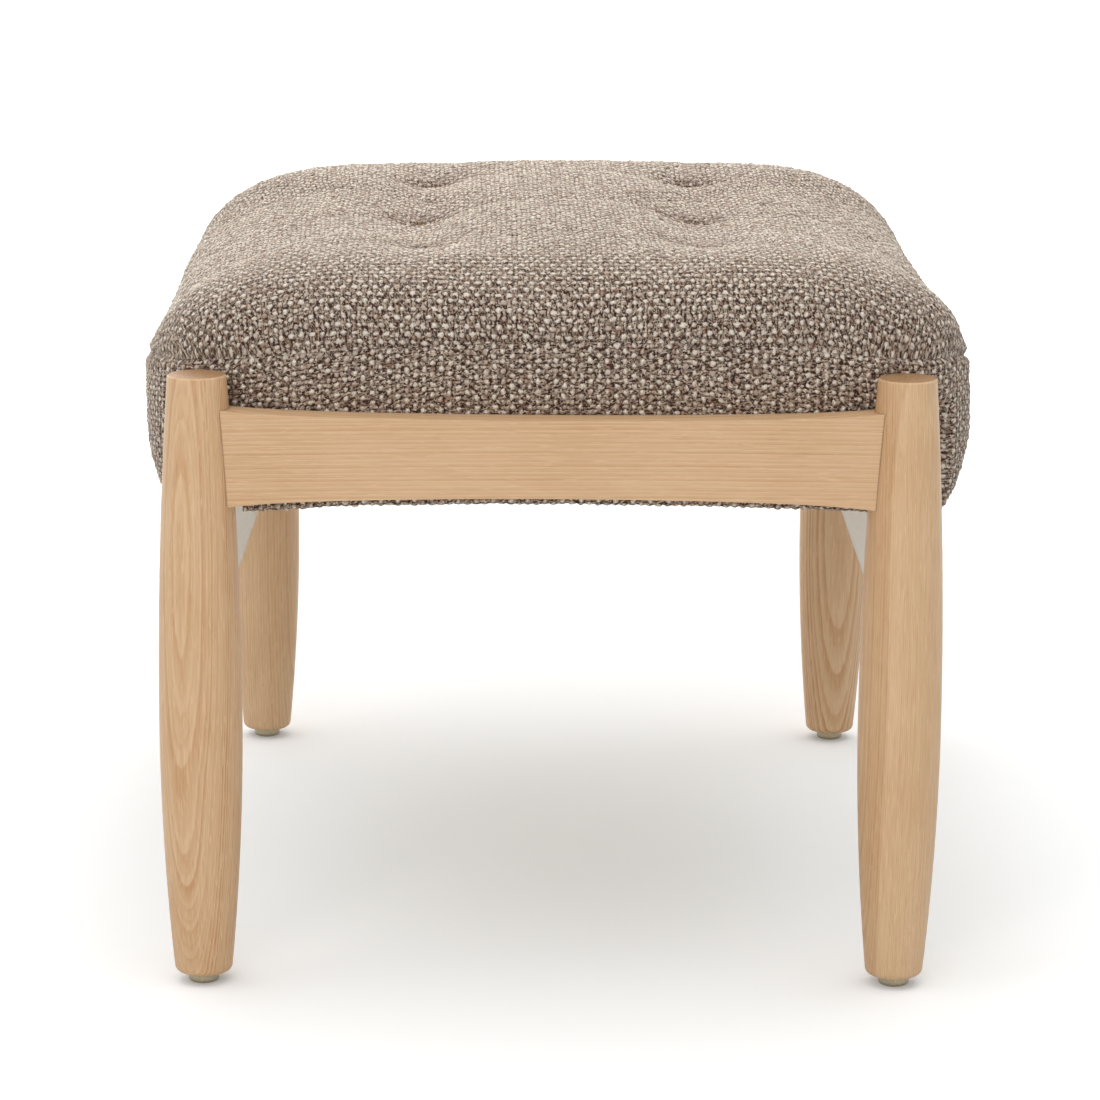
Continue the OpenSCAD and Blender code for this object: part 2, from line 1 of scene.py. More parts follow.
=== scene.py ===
"""Looks of the tufted footstool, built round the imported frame. Lengths in the seat's code are millimetres."""
import json
import math

import bpy
import numpy as np
from mathutils import Matrix, Vector

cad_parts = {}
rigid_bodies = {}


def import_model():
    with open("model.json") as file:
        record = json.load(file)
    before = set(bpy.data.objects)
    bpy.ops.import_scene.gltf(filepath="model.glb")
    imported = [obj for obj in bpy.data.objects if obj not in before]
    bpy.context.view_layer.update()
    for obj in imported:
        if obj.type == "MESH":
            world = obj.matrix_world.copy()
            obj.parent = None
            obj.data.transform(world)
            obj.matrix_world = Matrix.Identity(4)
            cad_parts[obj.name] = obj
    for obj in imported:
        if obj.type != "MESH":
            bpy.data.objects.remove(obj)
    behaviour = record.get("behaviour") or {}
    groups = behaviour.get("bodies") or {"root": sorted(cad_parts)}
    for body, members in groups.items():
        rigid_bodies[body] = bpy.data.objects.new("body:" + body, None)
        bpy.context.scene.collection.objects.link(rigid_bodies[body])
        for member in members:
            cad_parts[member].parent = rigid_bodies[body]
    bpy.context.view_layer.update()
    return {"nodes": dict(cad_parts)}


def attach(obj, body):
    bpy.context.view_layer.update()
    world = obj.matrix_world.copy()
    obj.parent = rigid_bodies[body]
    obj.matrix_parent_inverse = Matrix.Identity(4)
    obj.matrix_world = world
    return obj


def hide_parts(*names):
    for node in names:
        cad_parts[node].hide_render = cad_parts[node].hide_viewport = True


for old in list(bpy.data.objects):
    bpy.data.objects.remove(old)
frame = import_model()

MM = 0.001
NODES = frame["nodes"]

# The legs in millimetres: where they stand, and how they taper up and down from where they are fullest
LEG_X, LEG_Y, LEG_TOP = 210.0, 292.5, 374.0
FULL_Z, FULL_RADIUS = 165.0, 25.0
UP_LENGTH, UP_TAPER = 209.0, 7.5
DOWN_LENGTH, DOWN_TAPER = 154.2, 7.4


# Small helpers
def rgb(r, g, b):
    """A colour given as it should look on screen, as Blender's linear values."""
    def lin(v):
        v /= 255
        return v / 12.92 if v <= 0.04045 else ((v + 0.055) / 1.055) ** 2.4
    return (lin(r), lin(g), lin(b), 1.0)


def shade(colour, by):
    """The colour made darker or paler."""
    return tuple(min(1.0, v * by) for v in colour[:3]) + (1.0,)


def step(a, b, x):
    t = np.clip((x - a) / (b - a), 0, 1)
    return t * t * (3 - 2 * t)


def part(t, start, length):
    """How much of the stretch from start is behind t."""
    return np.clip((t - start) / length, 0, 1)


def hash01(i, j, seed):
    """A repeatable number from 0 to 1 for each pair of whole numbers."""
    h = (i.astype(np.int64) * 73856093) ^ (j.astype(np.int64) * 19349663) ^ (seed * 83492791)
    h = (h ^ (h >> 13)) * 1274126177 & 0xFFFFFFFF
    h = (h ^ (h >> 16)) * 2246822519 & 0xFFFFFFFF
    return ((h ^ (h >> 15)) & 0xFFFFFF) / 0xFFFFFF


def noise2(u, v, seed):
    """Smooth noise from -1 to 1."""
    i, j = np.floor(u), np.floor(v)
    a, b = u - i, v - j
    a, b = a * a * (3 - 2 * a), b * b * (3 - 2 * b)
    low = hash01(i, j, seed) * (1 - a) + hash01(i + 1, j, seed) * a
    high = hash01(i, j + 1, seed) * (1 - a) + hash01(i + 1, j + 1, seed) * a
    return 2 * (low * (1 - b) + high * b) - 1


def placed(name, data):
    """A new object in the scene."""
    ob = bpy.data.objects.new(name, data)
    bpy.context.scene.collection.objects.link(ob)
    return ob


def new_object(name, verts, faces, smooth=True):
    """A mesh from millimetre points and faces of any size."""
    me = bpy.data.meshes.new(name)
    me.from_pydata([tuple(p) for p in np.asarray(verts) * MM], [], [tuple(f) for f in faces])
    me.validate()
    if smooth:
        me.polygons.foreach_set("use_smooth", [True] * len(me.polygons))
    return placed(name, me)


def numbered(points):
    """The numbers of a grid's points, row by row."""
    return np.arange(points[..., 0].size).reshape(points.shape[:2])


def cells(grid, wrap=False):
    """The four corners of each cell of a grid of numbers, cell by cell."""
    g = np.concatenate([grid, grid[:, :1]], 1) if wrap else grid
    return np.stack([g[:-1, :-1], g[:-1, 1:], g[1:, 1:], g[1:, :-1]], -1).reshape(-1, 4)


def border_of(nx, ny):
    """Rows and columns round a grid of nx by ny cells, anticlockwise from its first corner."""
    places = ([(0, a) for a in range(nx)] + [(b, nx) for b in range(ny)]
              + [(ny, a) for a in range(nx, 0, -1)] + [(b, 0) for b in range(ny, 0, -1)])
    return np.array(places).T


def slab(name, face, back):
    """A closed sheet between two grids of points. The grids' own normal points out at face."""
    grid = numbered(face)
    rows, cols = border_of(grid.shape[1] - 1, grid.shape[0] - 1)
    edge = grid[rows, cols]
    after = np.roll(edge, -1)
    faces = cells(grid).tolist() + (cells(grid) + grid.size)[:, ::-1].tolist()
    faces += np.stack([edge, edge + grid.size, after + grid.size, after], -1).tolist()
    return new_object(name, np.concatenate([face.reshape(-1, 3), back.reshape(-1, 3)]), faces)


# Node helpers
class Value:
    """A number or colour in a node tree. Arithmetic with it adds math nodes."""

    def __init__(self, graph, socket):
        self.graph, self.socket = graph, socket

    def __add__(self, other):
        return self.graph.math("ADD", self, other)

    def __sub__(self, other):
        return self.graph.math("SUBTRACT", self, other)

    def __rsub__(self, other):
        return self.graph.math("SUBTRACT", other, self)

    def __mul__(self, other):
        return self.graph.math("MULTIPLY", self, other)

    def __truediv__(self, other):
        return self.graph.math("DIVIDE", self, other)


class Graph:
    """A material's or a world's nodes, with short calls to add and join them."""

    def __init__(self, name, kind="materials"):
        self.owner = getattr(bpy.data, kind).new(name)
        self.owner.use_nodes = True
        self.tree = self.owner.node_tree
        self.bsdf = self.tree.nodes.get("Principled BSDF")

    def add(self, kind, **props):
        n = self.tree.nodes.new("ShaderNode" + kind)
        for k, v in props.items():
            setattr(n, k, v)
        return n

    def put(self, value, socket):
        if isinstance(value, Value):
            self.tree.links.new(value.socket, socket)
        else:
            socket.default_value = value

    def fill(self, node, values, out=0):
        """Gives a node's inputs their values, and returns one of its outputs."""
        for name, value in values.items():
            self.put(value, node.inputs[name])
        return Value(self, node.outputs[out])

    def math(self, op, *values, clamp=False):
        return self.fill(self.add("Math", operation=op, use_clamp=clamp), dict(enumerate(values)))

    def mix(self, fac, a, b, blend="MIX"):
        return self.fill(self.add("Mix", data_type="RGBA", blend_type=blend), {0: fac, 6: a, 7: b}, 2)

    def span(self, x, a, b, lo, hi, **props):
        return self.fill(self.add("MapRange", **props), dict(enumerate((x, a, b, lo, hi))))

    def step(self, a, b, x):
        return self.span(x, a, b, 0, 1, interpolation_type="SMOOTHSTEP")

    def noise(self, at, scale, detail=2.0, rough=0.5, kind="3D"):
        values = {"Vector": at, "Scale": scale, "Detail": detail, "Roughness": rough}
        return self.fill(self.add("TexNoise", noise_dimensions=kind), values)

    def split(self, vector):
        n = self.add("SeparateXYZ")
        return [self.fill(n, {0: vector}, k) for k in range(3)]

    def join(self, x, y, z):
        return self.fill(self.add("CombineXYZ"), {0: x, 1: y, 2: z})

    def far(self, x, y):
        """The length of x, y."""
        return self.math("SQRT", x * x + y * y)

    def place(self):
        return self.fill(self.add("TexCoord"), {}, "Object")

    def ray(self, kind):
        return self.fill(self.add("LightPath"), {}, f"Is {kind} Ray")

    def mapped(self, vector, loc=(0, 0, 0), scale=(1, 1, 1)):
        return self.fill(self.add("Mapping"), {"Vector": vector, "Location": loc, "Scale": scale})

    def bump(self, height, strength, distance):
        values = {"Strength": strength, "Distance": distance, "Height": height}
        self.put(self.fill(self.add("Bump"), values), self.bsdf.inputs["Normal"])

    def finish(self, colour, roughness, specular, sheen=0.0, sheen_tint=None):
        values = {"Base Color": colour, "Roughness": roughness, "Specular IOR Level": specular}
        if sheen:
            values |= {"Sheen Weight": sheen, "Sheen Roughness": 0.45, "Sheen Tint": sheen_tint}
        self.fill(self.bsdf, values)
        return self.owner


# Wood
DARKER_STAVE = (0.86, 0.80, 0.74, 1.0)
# colour of the thin lines where rails meet legs: painted shade of the narrow gap there, and partly a glue line
JOINT_SHADE_AND_GLUE = rgb(112, 74, 48)


def wood(name, axis, origin, pith, tilt, ring, seed, tones, contrast=1.0, fine_rings=0.0, uneven=0.6,
         stave=None, joints=False):
    """Wood cut from a log whose rings lie round a pith that runs along axis.

    origin is where the board's own coordinates start, pith the pith's place across the grain, tilt its
    (place along, slope, curve, and lowest place where there is one) and ring the width of a year's ring, in
    metres. tones are the pale, middle and late wood's colours. fine_rings adds lines between the rings. stave
    is a list of (place along, edge) of a second, darker stave. The joint flag paints the thin dark lines where
    a rail's ends meet the legs: painted shade of the narrow gap there, and partly a glue line.
    """
    g = Graph(name)
    local = g.mapped(g.place(), loc=[-v for v in origin])
    x, y, z = g.split(local)
    along, b, c = {"X": (x, y, z), "Y": (y, x, z), "Z": (z, x, y)}[axis]

    def streaks(lengthwise, across, detail=2.0, rough=0.5, shift=0.0):
        at = g.join(along * lengthwise + (shift + seed * 3.7), b * across, c * across)
        return g.noise(at, 1.0, detail, rough)

    def late_wood(year, start):
        """Rises from start through the year, and ends at once."""
        return g.step(start, 0.84, year) * g.step(1.0, 0.90, year)

    place = along - tilt[0]
    if len(tilt) > 3:
        place = g.math("MAXIMUM", place, tilt[3])
    reach = g.far(b - pith[0], c - pith[1]) + place * tilt[1] - place * place * tilt[2]
    rings = (reach + (streaks(9, 45) - 0.5) * 0.0011) / ring
    rings = rings + (g.noise(g.join(rings, seed * 7.3, 0.5), 0.41, 1.0) - 0.5) * 1.5
    luck = g.fill(g.add("TexWhiteNoise", noise_dimensions="1D"), {"W": g.math("FLOOR", rings) + seed * 0.37})
    late = late_wood(g.math("FRACT", rings), 0.15) * g.span(g.math("POWER", luck, uneven), 0, 1, 0.15, 1.0)
    if fine_rings:
        extra = late_wood(g.math("FRACT", rings * 2.0), 0.3) * fine_rings
        late = g.math("MAXIMUM", late, extra)
    late = late * g.span(streaks(14, 70, shift=5.0), 0.3, 0.7, 0.55, 1.0) * contrast
    fine = streaks(34, 620, 3.0, 0.6)
    hair = streaks(60, 1500, 2.0, 0.6, 9.0)
    cloud = g.noise(g.mapped(local, loc=(seed * 0.31, 0, 0)), 11.0)
    tone = g.math("ADD", (fine - 0.36) * 1.15 + (cloud - 0.5) * 0.9, late * 0.35, clamp=True)
    colour = g.mix(tone, tones[0], tones[1])
    colour = g.mix(late * 0.72, colour, tones[2])
    pore = g.step(0.58, 0.70, hair) * g.span(late, 0, 1, 0.15, 0.40)
    colour = g.mix(pore, colour, shade(tones[2], 0.66))
    fleck = g.step(0.56, 0.68, streaks(60, 900, 2.0, 0.6, 21.0))
    colour = g.mix(fleck * 0.55, colour, shade(tones[0], 1.10))
    if stave:
        edge = g.add("FloatCurve")
        curve = edge.mapping.curves[0]
        low, high = stave[0][0], stave[-1][0]
        curve_span = 0.06
        points = [((a - low) / (high - low), 0.5 + e / curve_span) for a, e in stave]
        curve.points[0].location, curve.points[1].location = points[0], points[-1]
        for q in points[1:-1]:
            curve.points.new(*q)
        edge.mapping.update()
        line = (g.fill(edge, {"Value": g.span(along, low, high, 0, 1)}) - 0.5) * curve_span
        past = g.step(0.0006, -0.0006, b - line)
        colour = g.mix(past * 0.85, colour, DARKER_STAVE, "MULTIPLY")
    normal = g.split(g.fill(g.add("NewGeometry"), {}, "Normal"))["XYZ".index(axis)]
    end_grain = g.math("ADD", late * 0.5, g.step(0.50, 0.68, g.noise(local, 900.0, 2.0, 0.6)), clamp=True)
    end_grain = g.mix(end_grain, shade(tones[1], 0.72), shade(tones[2], 0.54))
    colour = g.mix(g.step(0.80, 0.94, g.math("ABSOLUTE", normal)), colour, end_grain)
    # painted shade: a thin dark line where a rail's end meets a leg, standing for the shade in the gap, and
    # partly a glue line
    if joints:
        px, py, pz = g.split(g.place())
        from_leg = g.far(g.math("ABSOLUTE", px) - LEG_X * MM, g.math("ABSOLUTE", py) - LEG_Y * MM)
        rise = (pz - FULL_Z * MM) / (UP_LENGTH * MM)
        radius = FULL_RADIUS * MM - rise * rise * (UP_TAPER * MM)
        colour = g.mix(g.step(0.0008, 0.0003, from_leg - radius) * 0.5, colour, JOINT_SHADE_AND_GLUE)
    g.bump(fine * 0.5 - pore, 0.2, 0.0002)
    return g.finish(colour, g.span(tone, 0, 1, 0.46, 0.58), 0.38)


ASH = (rgb(218, 185, 146), rgb(198, 156, 112), rgb(182, 122, 74))
RAIL_ASH = (rgb(218, 185, 146), rgb(200, 160, 117), rgb(188, 122, 74))
BEECH = (rgb(220, 190, 152), rgb(204, 168, 126), rgb(182, 138, 96))
STAVE = ((0.0, -0.0115), (0.10, -0.0115), (0.165, -0.0095), (0.290, -0.0095), (0.350, -0.0060),
         (0.374, -0.0015))
LEGS = (
    # name, sides of the leg, pith across the grain, tilt, ring, contrast, fine rings, uneven
    ("front_left_leg", -1, -1, (0.034, 0.081), (0.270, 0.0330, 0.0, -0.135), 0.00130, 1.05, 0.30, 1.3),
    ("front_right_leg", 1, -1, (0.200, 0.030), (0.20, 0.012, 0.0), 0.00118, 0.46, 0.35, 0.6),
    ("rear_left_leg", -1, 1, (-0.180, 0.030), (0.20, 0.0, 0.0), 0.00190, 0.60, 0.35, 0.6),
    ("rear_right_leg", 1, 1, (-0.009, 0.070), (0.20, 0.0, 0.0), 0.00195, 1.15, 0.0, 0.8),
)
RAIL_Y, RAIL_Z = 0.2955, 0.326
CORNERS = ("front_left", "front_right", "rear_left", "rear_right")
RAILS, BOARDS = ["left_side_rail", "right_side_rail"], ["front_end_board", "rear_end_board"]


def paint(node, material):
    ob = NODES[node]
    ob.data.materials.clear()
    ob.data.materials.append(material)


for k, (name, sx, sy, pith, tilt, ring, contrast, fine_rings, uneven) in enumerate(LEGS):
    stave = STAVE if name == "front_right_leg" else None
    paint(name, wood("ash_" + name, "Z", (sx * LEG_X * MM, sy * LEG_Y * MM, 0), pith, tilt, ring, k + 1, ASH,
                     contrast, fine_rings, uneven, stave))
for k, (name, sy) in enumerate((("front_rail", -1), ("rear_rail", 1))):
    paint(name, wood("ash_" + name, "X", (0, sy * RAIL_Y, RAIL_Z), (sy * 0.05, 0.230), (0.02, 0.004, 0.045),
                     0.0027, k + 11, RAIL_ASH, 0.70, 0.5, joints=True))
for k, (name, axis) in enumerate((("left_side_rail", "Y"), ("right_side_rail", "Y"), ("rail_dowels", "X"),
                                  ("side_rail_dowels", "Y"), ("tuft_toggles", "X"))):
    paint(name, wood("beech_" + name, axis, (0, 0, 0.29), (0.03, 0.12), (0.0, 0.0, 0.03), 0.0032, k + 21,
                     BEECH, 0.6))


def plywood(name, axis):
    """Thin plies seen at the edges, quiet face veneer elsewhere. axis is across the plies."""
    g = Graph(name)
    place = g.place()
    across = g.split(place)["XYZ".index(axis)]
    band = g.step(0.0006, 0.0011, g.math("PINGPONG", across + 3.0, 0.0016))
    fine = g.noise(g.mapped(place, scale=(30, 420, 420)), 1.0, 3.0)
    tone = g.math("ADD", band * 0.5, fine * 0.5, clamp=True)
    g.bump(fine, 0.3, 0.0003)
    return g.finish(g.mix(tone, rgb(206, 176, 134), rgb(158, 122, 82)), 0.62, 0.3)


for name in BOARDS:
    paint(name, plywood("ply_" + name, "Y"))
for corner in CORNERS:
    name = corner + "_block"
    paint(name, plywood("ply_" + name, "Z"))


def metal(name, colour, roughness):
    g = Graph(name)
    place = g.place()
    wear = g.noise(place, 900.0, 3.0)
    g.bsdf.inputs["Metallic"].default_value = 1.0
    g.bump(g.noise(place, 2500.0), 0.05, 0.0001)
    worn = g.mix(g.span(wear, 0.3, 0.7, 0, 1), colour, shade(colour, 0.82))
    return g.finish(worn, g.span(wear, 0.3, 0.7, roughness, roughness + 0.12), 0.5)


nickel = metal("nickel_bright", rgb(176, 166, 142), 0.24)
for corner in CORNERS:
    paint(corner + "_glide", nickel)
paint("glide_nails", metal("nail_steel", rgb(170, 170, 168), 0.3))
paint("block_screws", metal("screw_steel", rgb(178, 176, 170), 0.3))


def cloth(name, light, dark, pitch, roughness=0.9):
    """A plain woven cloth of fine threads, pitch metres apart, with slubs."""
    g = Graph(name)
    place = g.place()
    x, y, z = g.split(place)
    warp, weft = (g.math("ABSOLUTE", g.math("SINE", v * (math.pi / pitch)))
                  for v in (x + y, z + (x - y) * 0.999))
    weave = warp * weft
    slub = g.noise(g.mapped(place, scale=(1, 1, 9)), 60.0, 3.0)
    fleck = g.noise(place, 1400.0)
    tone = g.math("ADD", (1.0 - weave) * 0.45 + (slub - 0.5) * 0.9, (fleck - 0.5) * 0.5, clamp=True)
    g.bump(weave + fleck * 0.5, 0.5, 0.0004)
    return g.finish(g.mix(tone, light, dark), roughness, 0.2, 0.25, rgb(240, 235, 225))


# The seat's shape
HALF_X, HALF_Y, TOP = 251.0, 285.2, 441.6
SIDE_Z, END_Z = 358.0, 368.0  # heights where the sides and the ends are fullest
SIDE_N, END_N, PLAN_N = 2.40, 5.2, 6.47
SIDE_SEAM, END_SEAM, SEAM_RISE = 366.5, 393.0, 13.0
CUT_Z = 352.0  # the cover is cut here behind the legs
RAIL_SIDE = 226.3  # the cloth's reach down the side rails
SKIRT_FOOT, SKIRT_END, FLAP_END = 228.0, 200.0, 259.0
LEG_GAP, LEG_RELAX = 1.3, 14.0  # the cloth's distance from a leg, and how far it comes in over its top
YARN_P, YARN_Q = 5.05, 3.12  # spacing of the cream yarns and of the taupe yarns
COARSE_X, COARSE_Y = 58, 58  # cells of the coarse form, along x and along y
COARSE_RING, COARSE_SIDE, COARSE_END = 4, 13, 3
FINE = 8  # fine cells in each coarse one
# outlines as (height, reach)
SIDE_PROFILE = ((220, 226.4), (240, 226.6), (260, 226.9), (270, 227.8), (280, 231.6), (290, 238.8),
                (300, 244.6), (309, 247.8), (318, 249.8), (330, 251.0), (340, 251.0), (358, 251.0))
END_PROFILE = ((280, 284.0), (352, 284.2), (360, 285.0), (368, 285.2))
# places and depths of the tufts, before the cushion settles
TUFTS = ((-81.7, 146, 17.0), (95.1, 146, 18.0), (-86.4, 0, 20.0), (91.5, 0, 20.0), (-83.7, -146, 13.5),
         (89.8, -146, 14.0))
PIT_REACH, PIT_WIDTH, VALLEY_REACH = 14.0, 1.3, 34.0
PIT_SHADE = 24.0  # reach of the shade painted round a tuft
# depth of the valleys along the seat, as (place, depth)
VALLEY = ((-238, 0), (-215, 2.5), (-190, 6), (-146, 11), (-100, 14), (-60, 14), (0, 11.5), (73, 10.5),
          (110, 9.5), (146, 7.5), (170, 5), (200, 2), (235, 0))
# how the settled cushion is moved, turned (at 250 mm), pulled in at the seam, swollen and leant
SHIFT, TURN, SEAM_PULL, SIDE_SWELL, LEAN = 0.6, 4.1, 2.1, 1.7, 2.1
CLOTH_SHARE = 0.22  # share of the cloth simulation's movement that the seat takes
CLOTH_SETTINGS = {
    "quality": 8, "mass": 0.5, "tension_stiffness": 25, "compression_stiffness": 25, "shear_stiffness": 12,
    "bending_stiffness": 1.2, "air_damping": 3, "use_pressure": True, "uniform_pressure_force": 4.0,
    "shrink_min": -0.012, "vertex_group_mass": "held"}


def leg_radius(z):
    up, down = (z - FULL_Z) / UP_LENGTH, (FULL_Z - z) / DOWN_LENGTH
    return FULL_RADIUS - np.where(z > FULL_Z, UP_TAPER * up * up, DOWN_TAPER * down * down)


def rail_bottom(x):
    u = np.abs(x) / 205
    return 302.5 - 8.3 * (0.55 * u * u + 0.45 * u ** 8)


def plan(i, j):
    """For places on the unit square: share of an end, and the scale that rounds the plan's corners."""
    a, b = np.abs(i) ** PLAN_N, np.abs(j) ** PLAN_N
    total = a + b
    safe = np.where(total == 0, 1, total)
    share = np.where(total == 0, 0, b / safe)
    scale = np.where(total == 0, 1, np.maximum(np.abs(i), np.abs(j)) / safe ** (1 / PLAN_N))
    return share, scale


def seam_height(x, y, share):
    side = SIDE_SEAM + SEAM_RISE * step(150, 275, np.abs(y))
    end = END_SEAM - SEAM_RISE * np.minimum(1.15, (np.abs(x) / 212) ** 2)
    return side * (1 - share) + end * share


def roll_of(share):
    """The height where the form is fullest, and the power of its roll above that."""
    return SIDE_Z + (END_Z - SIDE_Z) * share, SIDE_N + (END_N - SIDE_N) * share


def shrink_at(z, share):
    """How far in from the fullest outline the form has rolled at height z."""
    z0, n = roll_of(share)
    rise = np.clip((z - z0) / (TOP - z0), 0, 1)
    return (1 - rise ** n) ** (1 / n)


def crown(i, j):
    """The top panel. i and j run from -1 to 1, and meet the seam at the border."""
    share, scale = plan(i, j)
    c = np.maximum(np.abs(i), np.abs(j))
    safe = np.where(c == 0, 1, c)
    bi, bj = i / safe, j / safe
    edge = np.where(c == 0, 1, plan(bi, bj)[1])
    seam = seam_height(bi * edge * HALF_X, bj * edge * HALF_Y, share)
    cs = shrink_at(seam, share)
    z0, n = roll_of(share)
    z = z0 + (TOP - z0) * np.maximum(0, 1 - (c * cs) ** n) ** (1 / n)
    return np.stack([i * cs * scale * HALF_X, j * cs * scale * HALF_Y, z], -1)


def band_line(bi, bj, z):
    """A point of the border band at height z, in the direction of the border place bi, bj."""
    share, scale = plan(bi, bj)
    z0, _ = roll_of(share)
    roll = np.where(z > z0, shrink_at(z, share), 1)
    side_x, end_y = np.interp(z, *zip(*SIDE_PROFILE)), np.interp(z, *zip(*END_PROFILE))
    full_x, full_y = np.abs(bi) * scale * HALF_X * roll, np.abs(bj) * scale * HALF_Y * roll
    tucked = RAIL_SIDE + (full_x - RAIL_SIDE) * (side_x - RAIL_SIDE) / (HALF_X - RAIL_SIDE)
    on_side = step(206, 215, full_x)
    drawn_out = full_x + (RAIL_SIDE - full_x) * step(352, 335, z) * on_side
    x = np.where(full_x > RAIL_SIDE, tucked, drawn_out)
    x = x * on_side + full_x * (1 - on_side)
    y = full_y * (1 - (1 - end_y / HALF_Y) * share)
    return np.stack([np.sign(bi) * x, np.sign(bj) * y, z + 0 * x], -1)


def settle(p):
    """The cushion as it sits: turned and tipped a little, fuller at its corners, drawn in along the seam."""
    q = p.copy()
    x, y, z = p[..., 0], p[..., 1], p[..., 2]
    behind_leg = step(246, 259, np.abs(y)) * step(358, 342, z) * step(196, 212, np.abs(x))
    free = step(262, 300, z) * (1 - behind_leg)
    q[..., 0] = x * (1 + 0.02 * (y / 250) ** 2 * free) + (SHIFT - TURN * y / 250) * free
    q[..., 0] -= np.sign(x) * SEAM_PULL * np.exp(-((z - 383) / 15) ** 2) * step(180, 235, np.abs(x))
    q[..., 0] += np.sign(x) * SIDE_SWELL * step(200, 240, np.abs(x)) * free
    q[..., 1] -= LEAN * step(365, 430, z)
    q[..., 2] += 0.01 * x * step(350, 400, z)
    return q


def clear_of_legs(p):
    """Presses the cloth back from the legs' round sides, and lets it relax over their tops."""
    q = p.copy()
    for sx, sy in ((-1, -1), (-1, 1), (1, -1), (1, 1)):
        dx, dy = q[..., 0] - sx * LEG_X, q[..., 1] - sy * LEG_Y
        far = np.hypot(dx, dy)
        need = leg_radius(np.clip(q[..., 2], 200, LEG_TOP)) + LEG_GAP
        need = need - LEG_RELAX * step(LEG_TOP - 1, LEG_TOP + 14, q[..., 2])
        push = np.maximum(0, need - far)
        safe = np.maximum(far, 1e-6)
        q[..., 0] += dx / safe * push
        q[..., 1] += dy / safe * push
    return q


def run_of(points, axis=0):
    """Distance along each row of points, from its start."""
    steps = np.diff(points, axis=axis, prepend=np.take(points, [0], axis))
    return np.cumsum(np.linalg.norm(steps, axis=-1), axis=axis)


def lengths(points, axis):
    """Distance along each row of points, from its middle."""
    run = run_of(points, axis)
    return run - np.take(run, [run.shape[axis] // 2], axis)


def even_lines(count, along_x):
    """Grid lines from -1 to 1 that are evenly spaced on the crowned surface."""
    t = np.linspace(-1, 1, 4001)
    t = np.sign(t) * (1 - (1 - np.abs(t)) ** 2.2)
    run = run_of(crown(t, t * 0) if along_x else crown(t * 0, t))
    return np.interp(np.linspace(0, run[-1], count + 1), run, t)


def upsample(n_coarse, fine):
    """Weights that carry values on coarse lines to fine ones, smoothly (Catmull-Rom)."""
    n = n_coarse * fine
    w = np.zeros((n + 1, n_coarse + 1))
    for k in range(n + 1):
        s = k / fine
        b = min(int(s), n_coarse - 1)
        t = s - b
        cubic = (-0.5 * t + t * t - 0.5 * t ** 3, 1 - 2.5 * t * t + 1.5 * t ** 3,
                 0.5 * t + 2 * t * t - 1.5 * t ** 3, -0.5 * t * t + 0.5 * t ** 3)
        for o, c in zip((-1, 0, 1, 2), cubic):
            w[k, min(max(b + o, 0), n_coarse)] += c
    return w


def dimples(x, y):
    """How far the tufts draw the top down: a pit at each, and a valley along each row of them."""
    total = np.zeros_like(x)
    for tx, ty, depth in TUFTS:
        r = np.hypot((x - tx) / PIT_WIDTH, y - ty)
        total += (depth * np.exp(-(np.sqrt(r * r + 6) - 2.4) / PIT_REACH)) ** 2.5
    for side in (-1, 1):
        middle = sorted((ty, tx) for tx, ty, _ in TUFTS if tx * side > 0)
        off = x - np.interp(y, *zip(*middle))
        deep = np.interp(y, *zip(*VALLEY))
        total += (deep * np.exp(-(off / VALLEY_REACH) ** 2)) ** 2.5
    return total ** 0.4


def simulate(points):
    """Inflates the coarse top panel as cloth that is held at the seam and at the tufts."""
    flat, idx = points.reshape(-1, 3), numbered(points)
    ob = new_object("top_panel_sim", flat, cells(idx).tolist())
    pins = set(idx[[0, -1], :].ravel().tolist() + idx[:, [0, -1]].ravel().tolist())
    for tx, ty, _ in TUFTS:
        near = np.argsort(np.hypot(flat[:, 0] - tx, flat[:, 1] - ty))[:3]
        pins.update(int(v) for v in near)
    group = ob.vertex_groups.new(name="held")
    group.add(sorted(pins), 1.0, "ADD")
    mod = ob.modifiers.new("Cloth", "CLOTH")
    for key, value in CLOTH_SETTINGS.items():
        setattr(mod.settings, key, value)
    mod.settings.effector_weights.gravity = 0
    mod.collision_settings.use_collision = False
    mod.point_cache.frame_start, mod.point_cache.frame_end = 1, 20
    for f in range(1, 21):
        bpy.context.scene.frame_set(f)
    dg = bpy.context.evaluated_depsgraph_get()
    me = ob.evaluated_get(dg).to_mesh()
    co = np.zeros(points.size, np.float32)
    me.vertices.foreach_get("co", co)
    bpy.data.objects.remove(ob)
    bpy.context.scene.frame_set(1)
    return (co.reshape(points.shape).astype(float) / MM - points) * CLOTH_SHARE


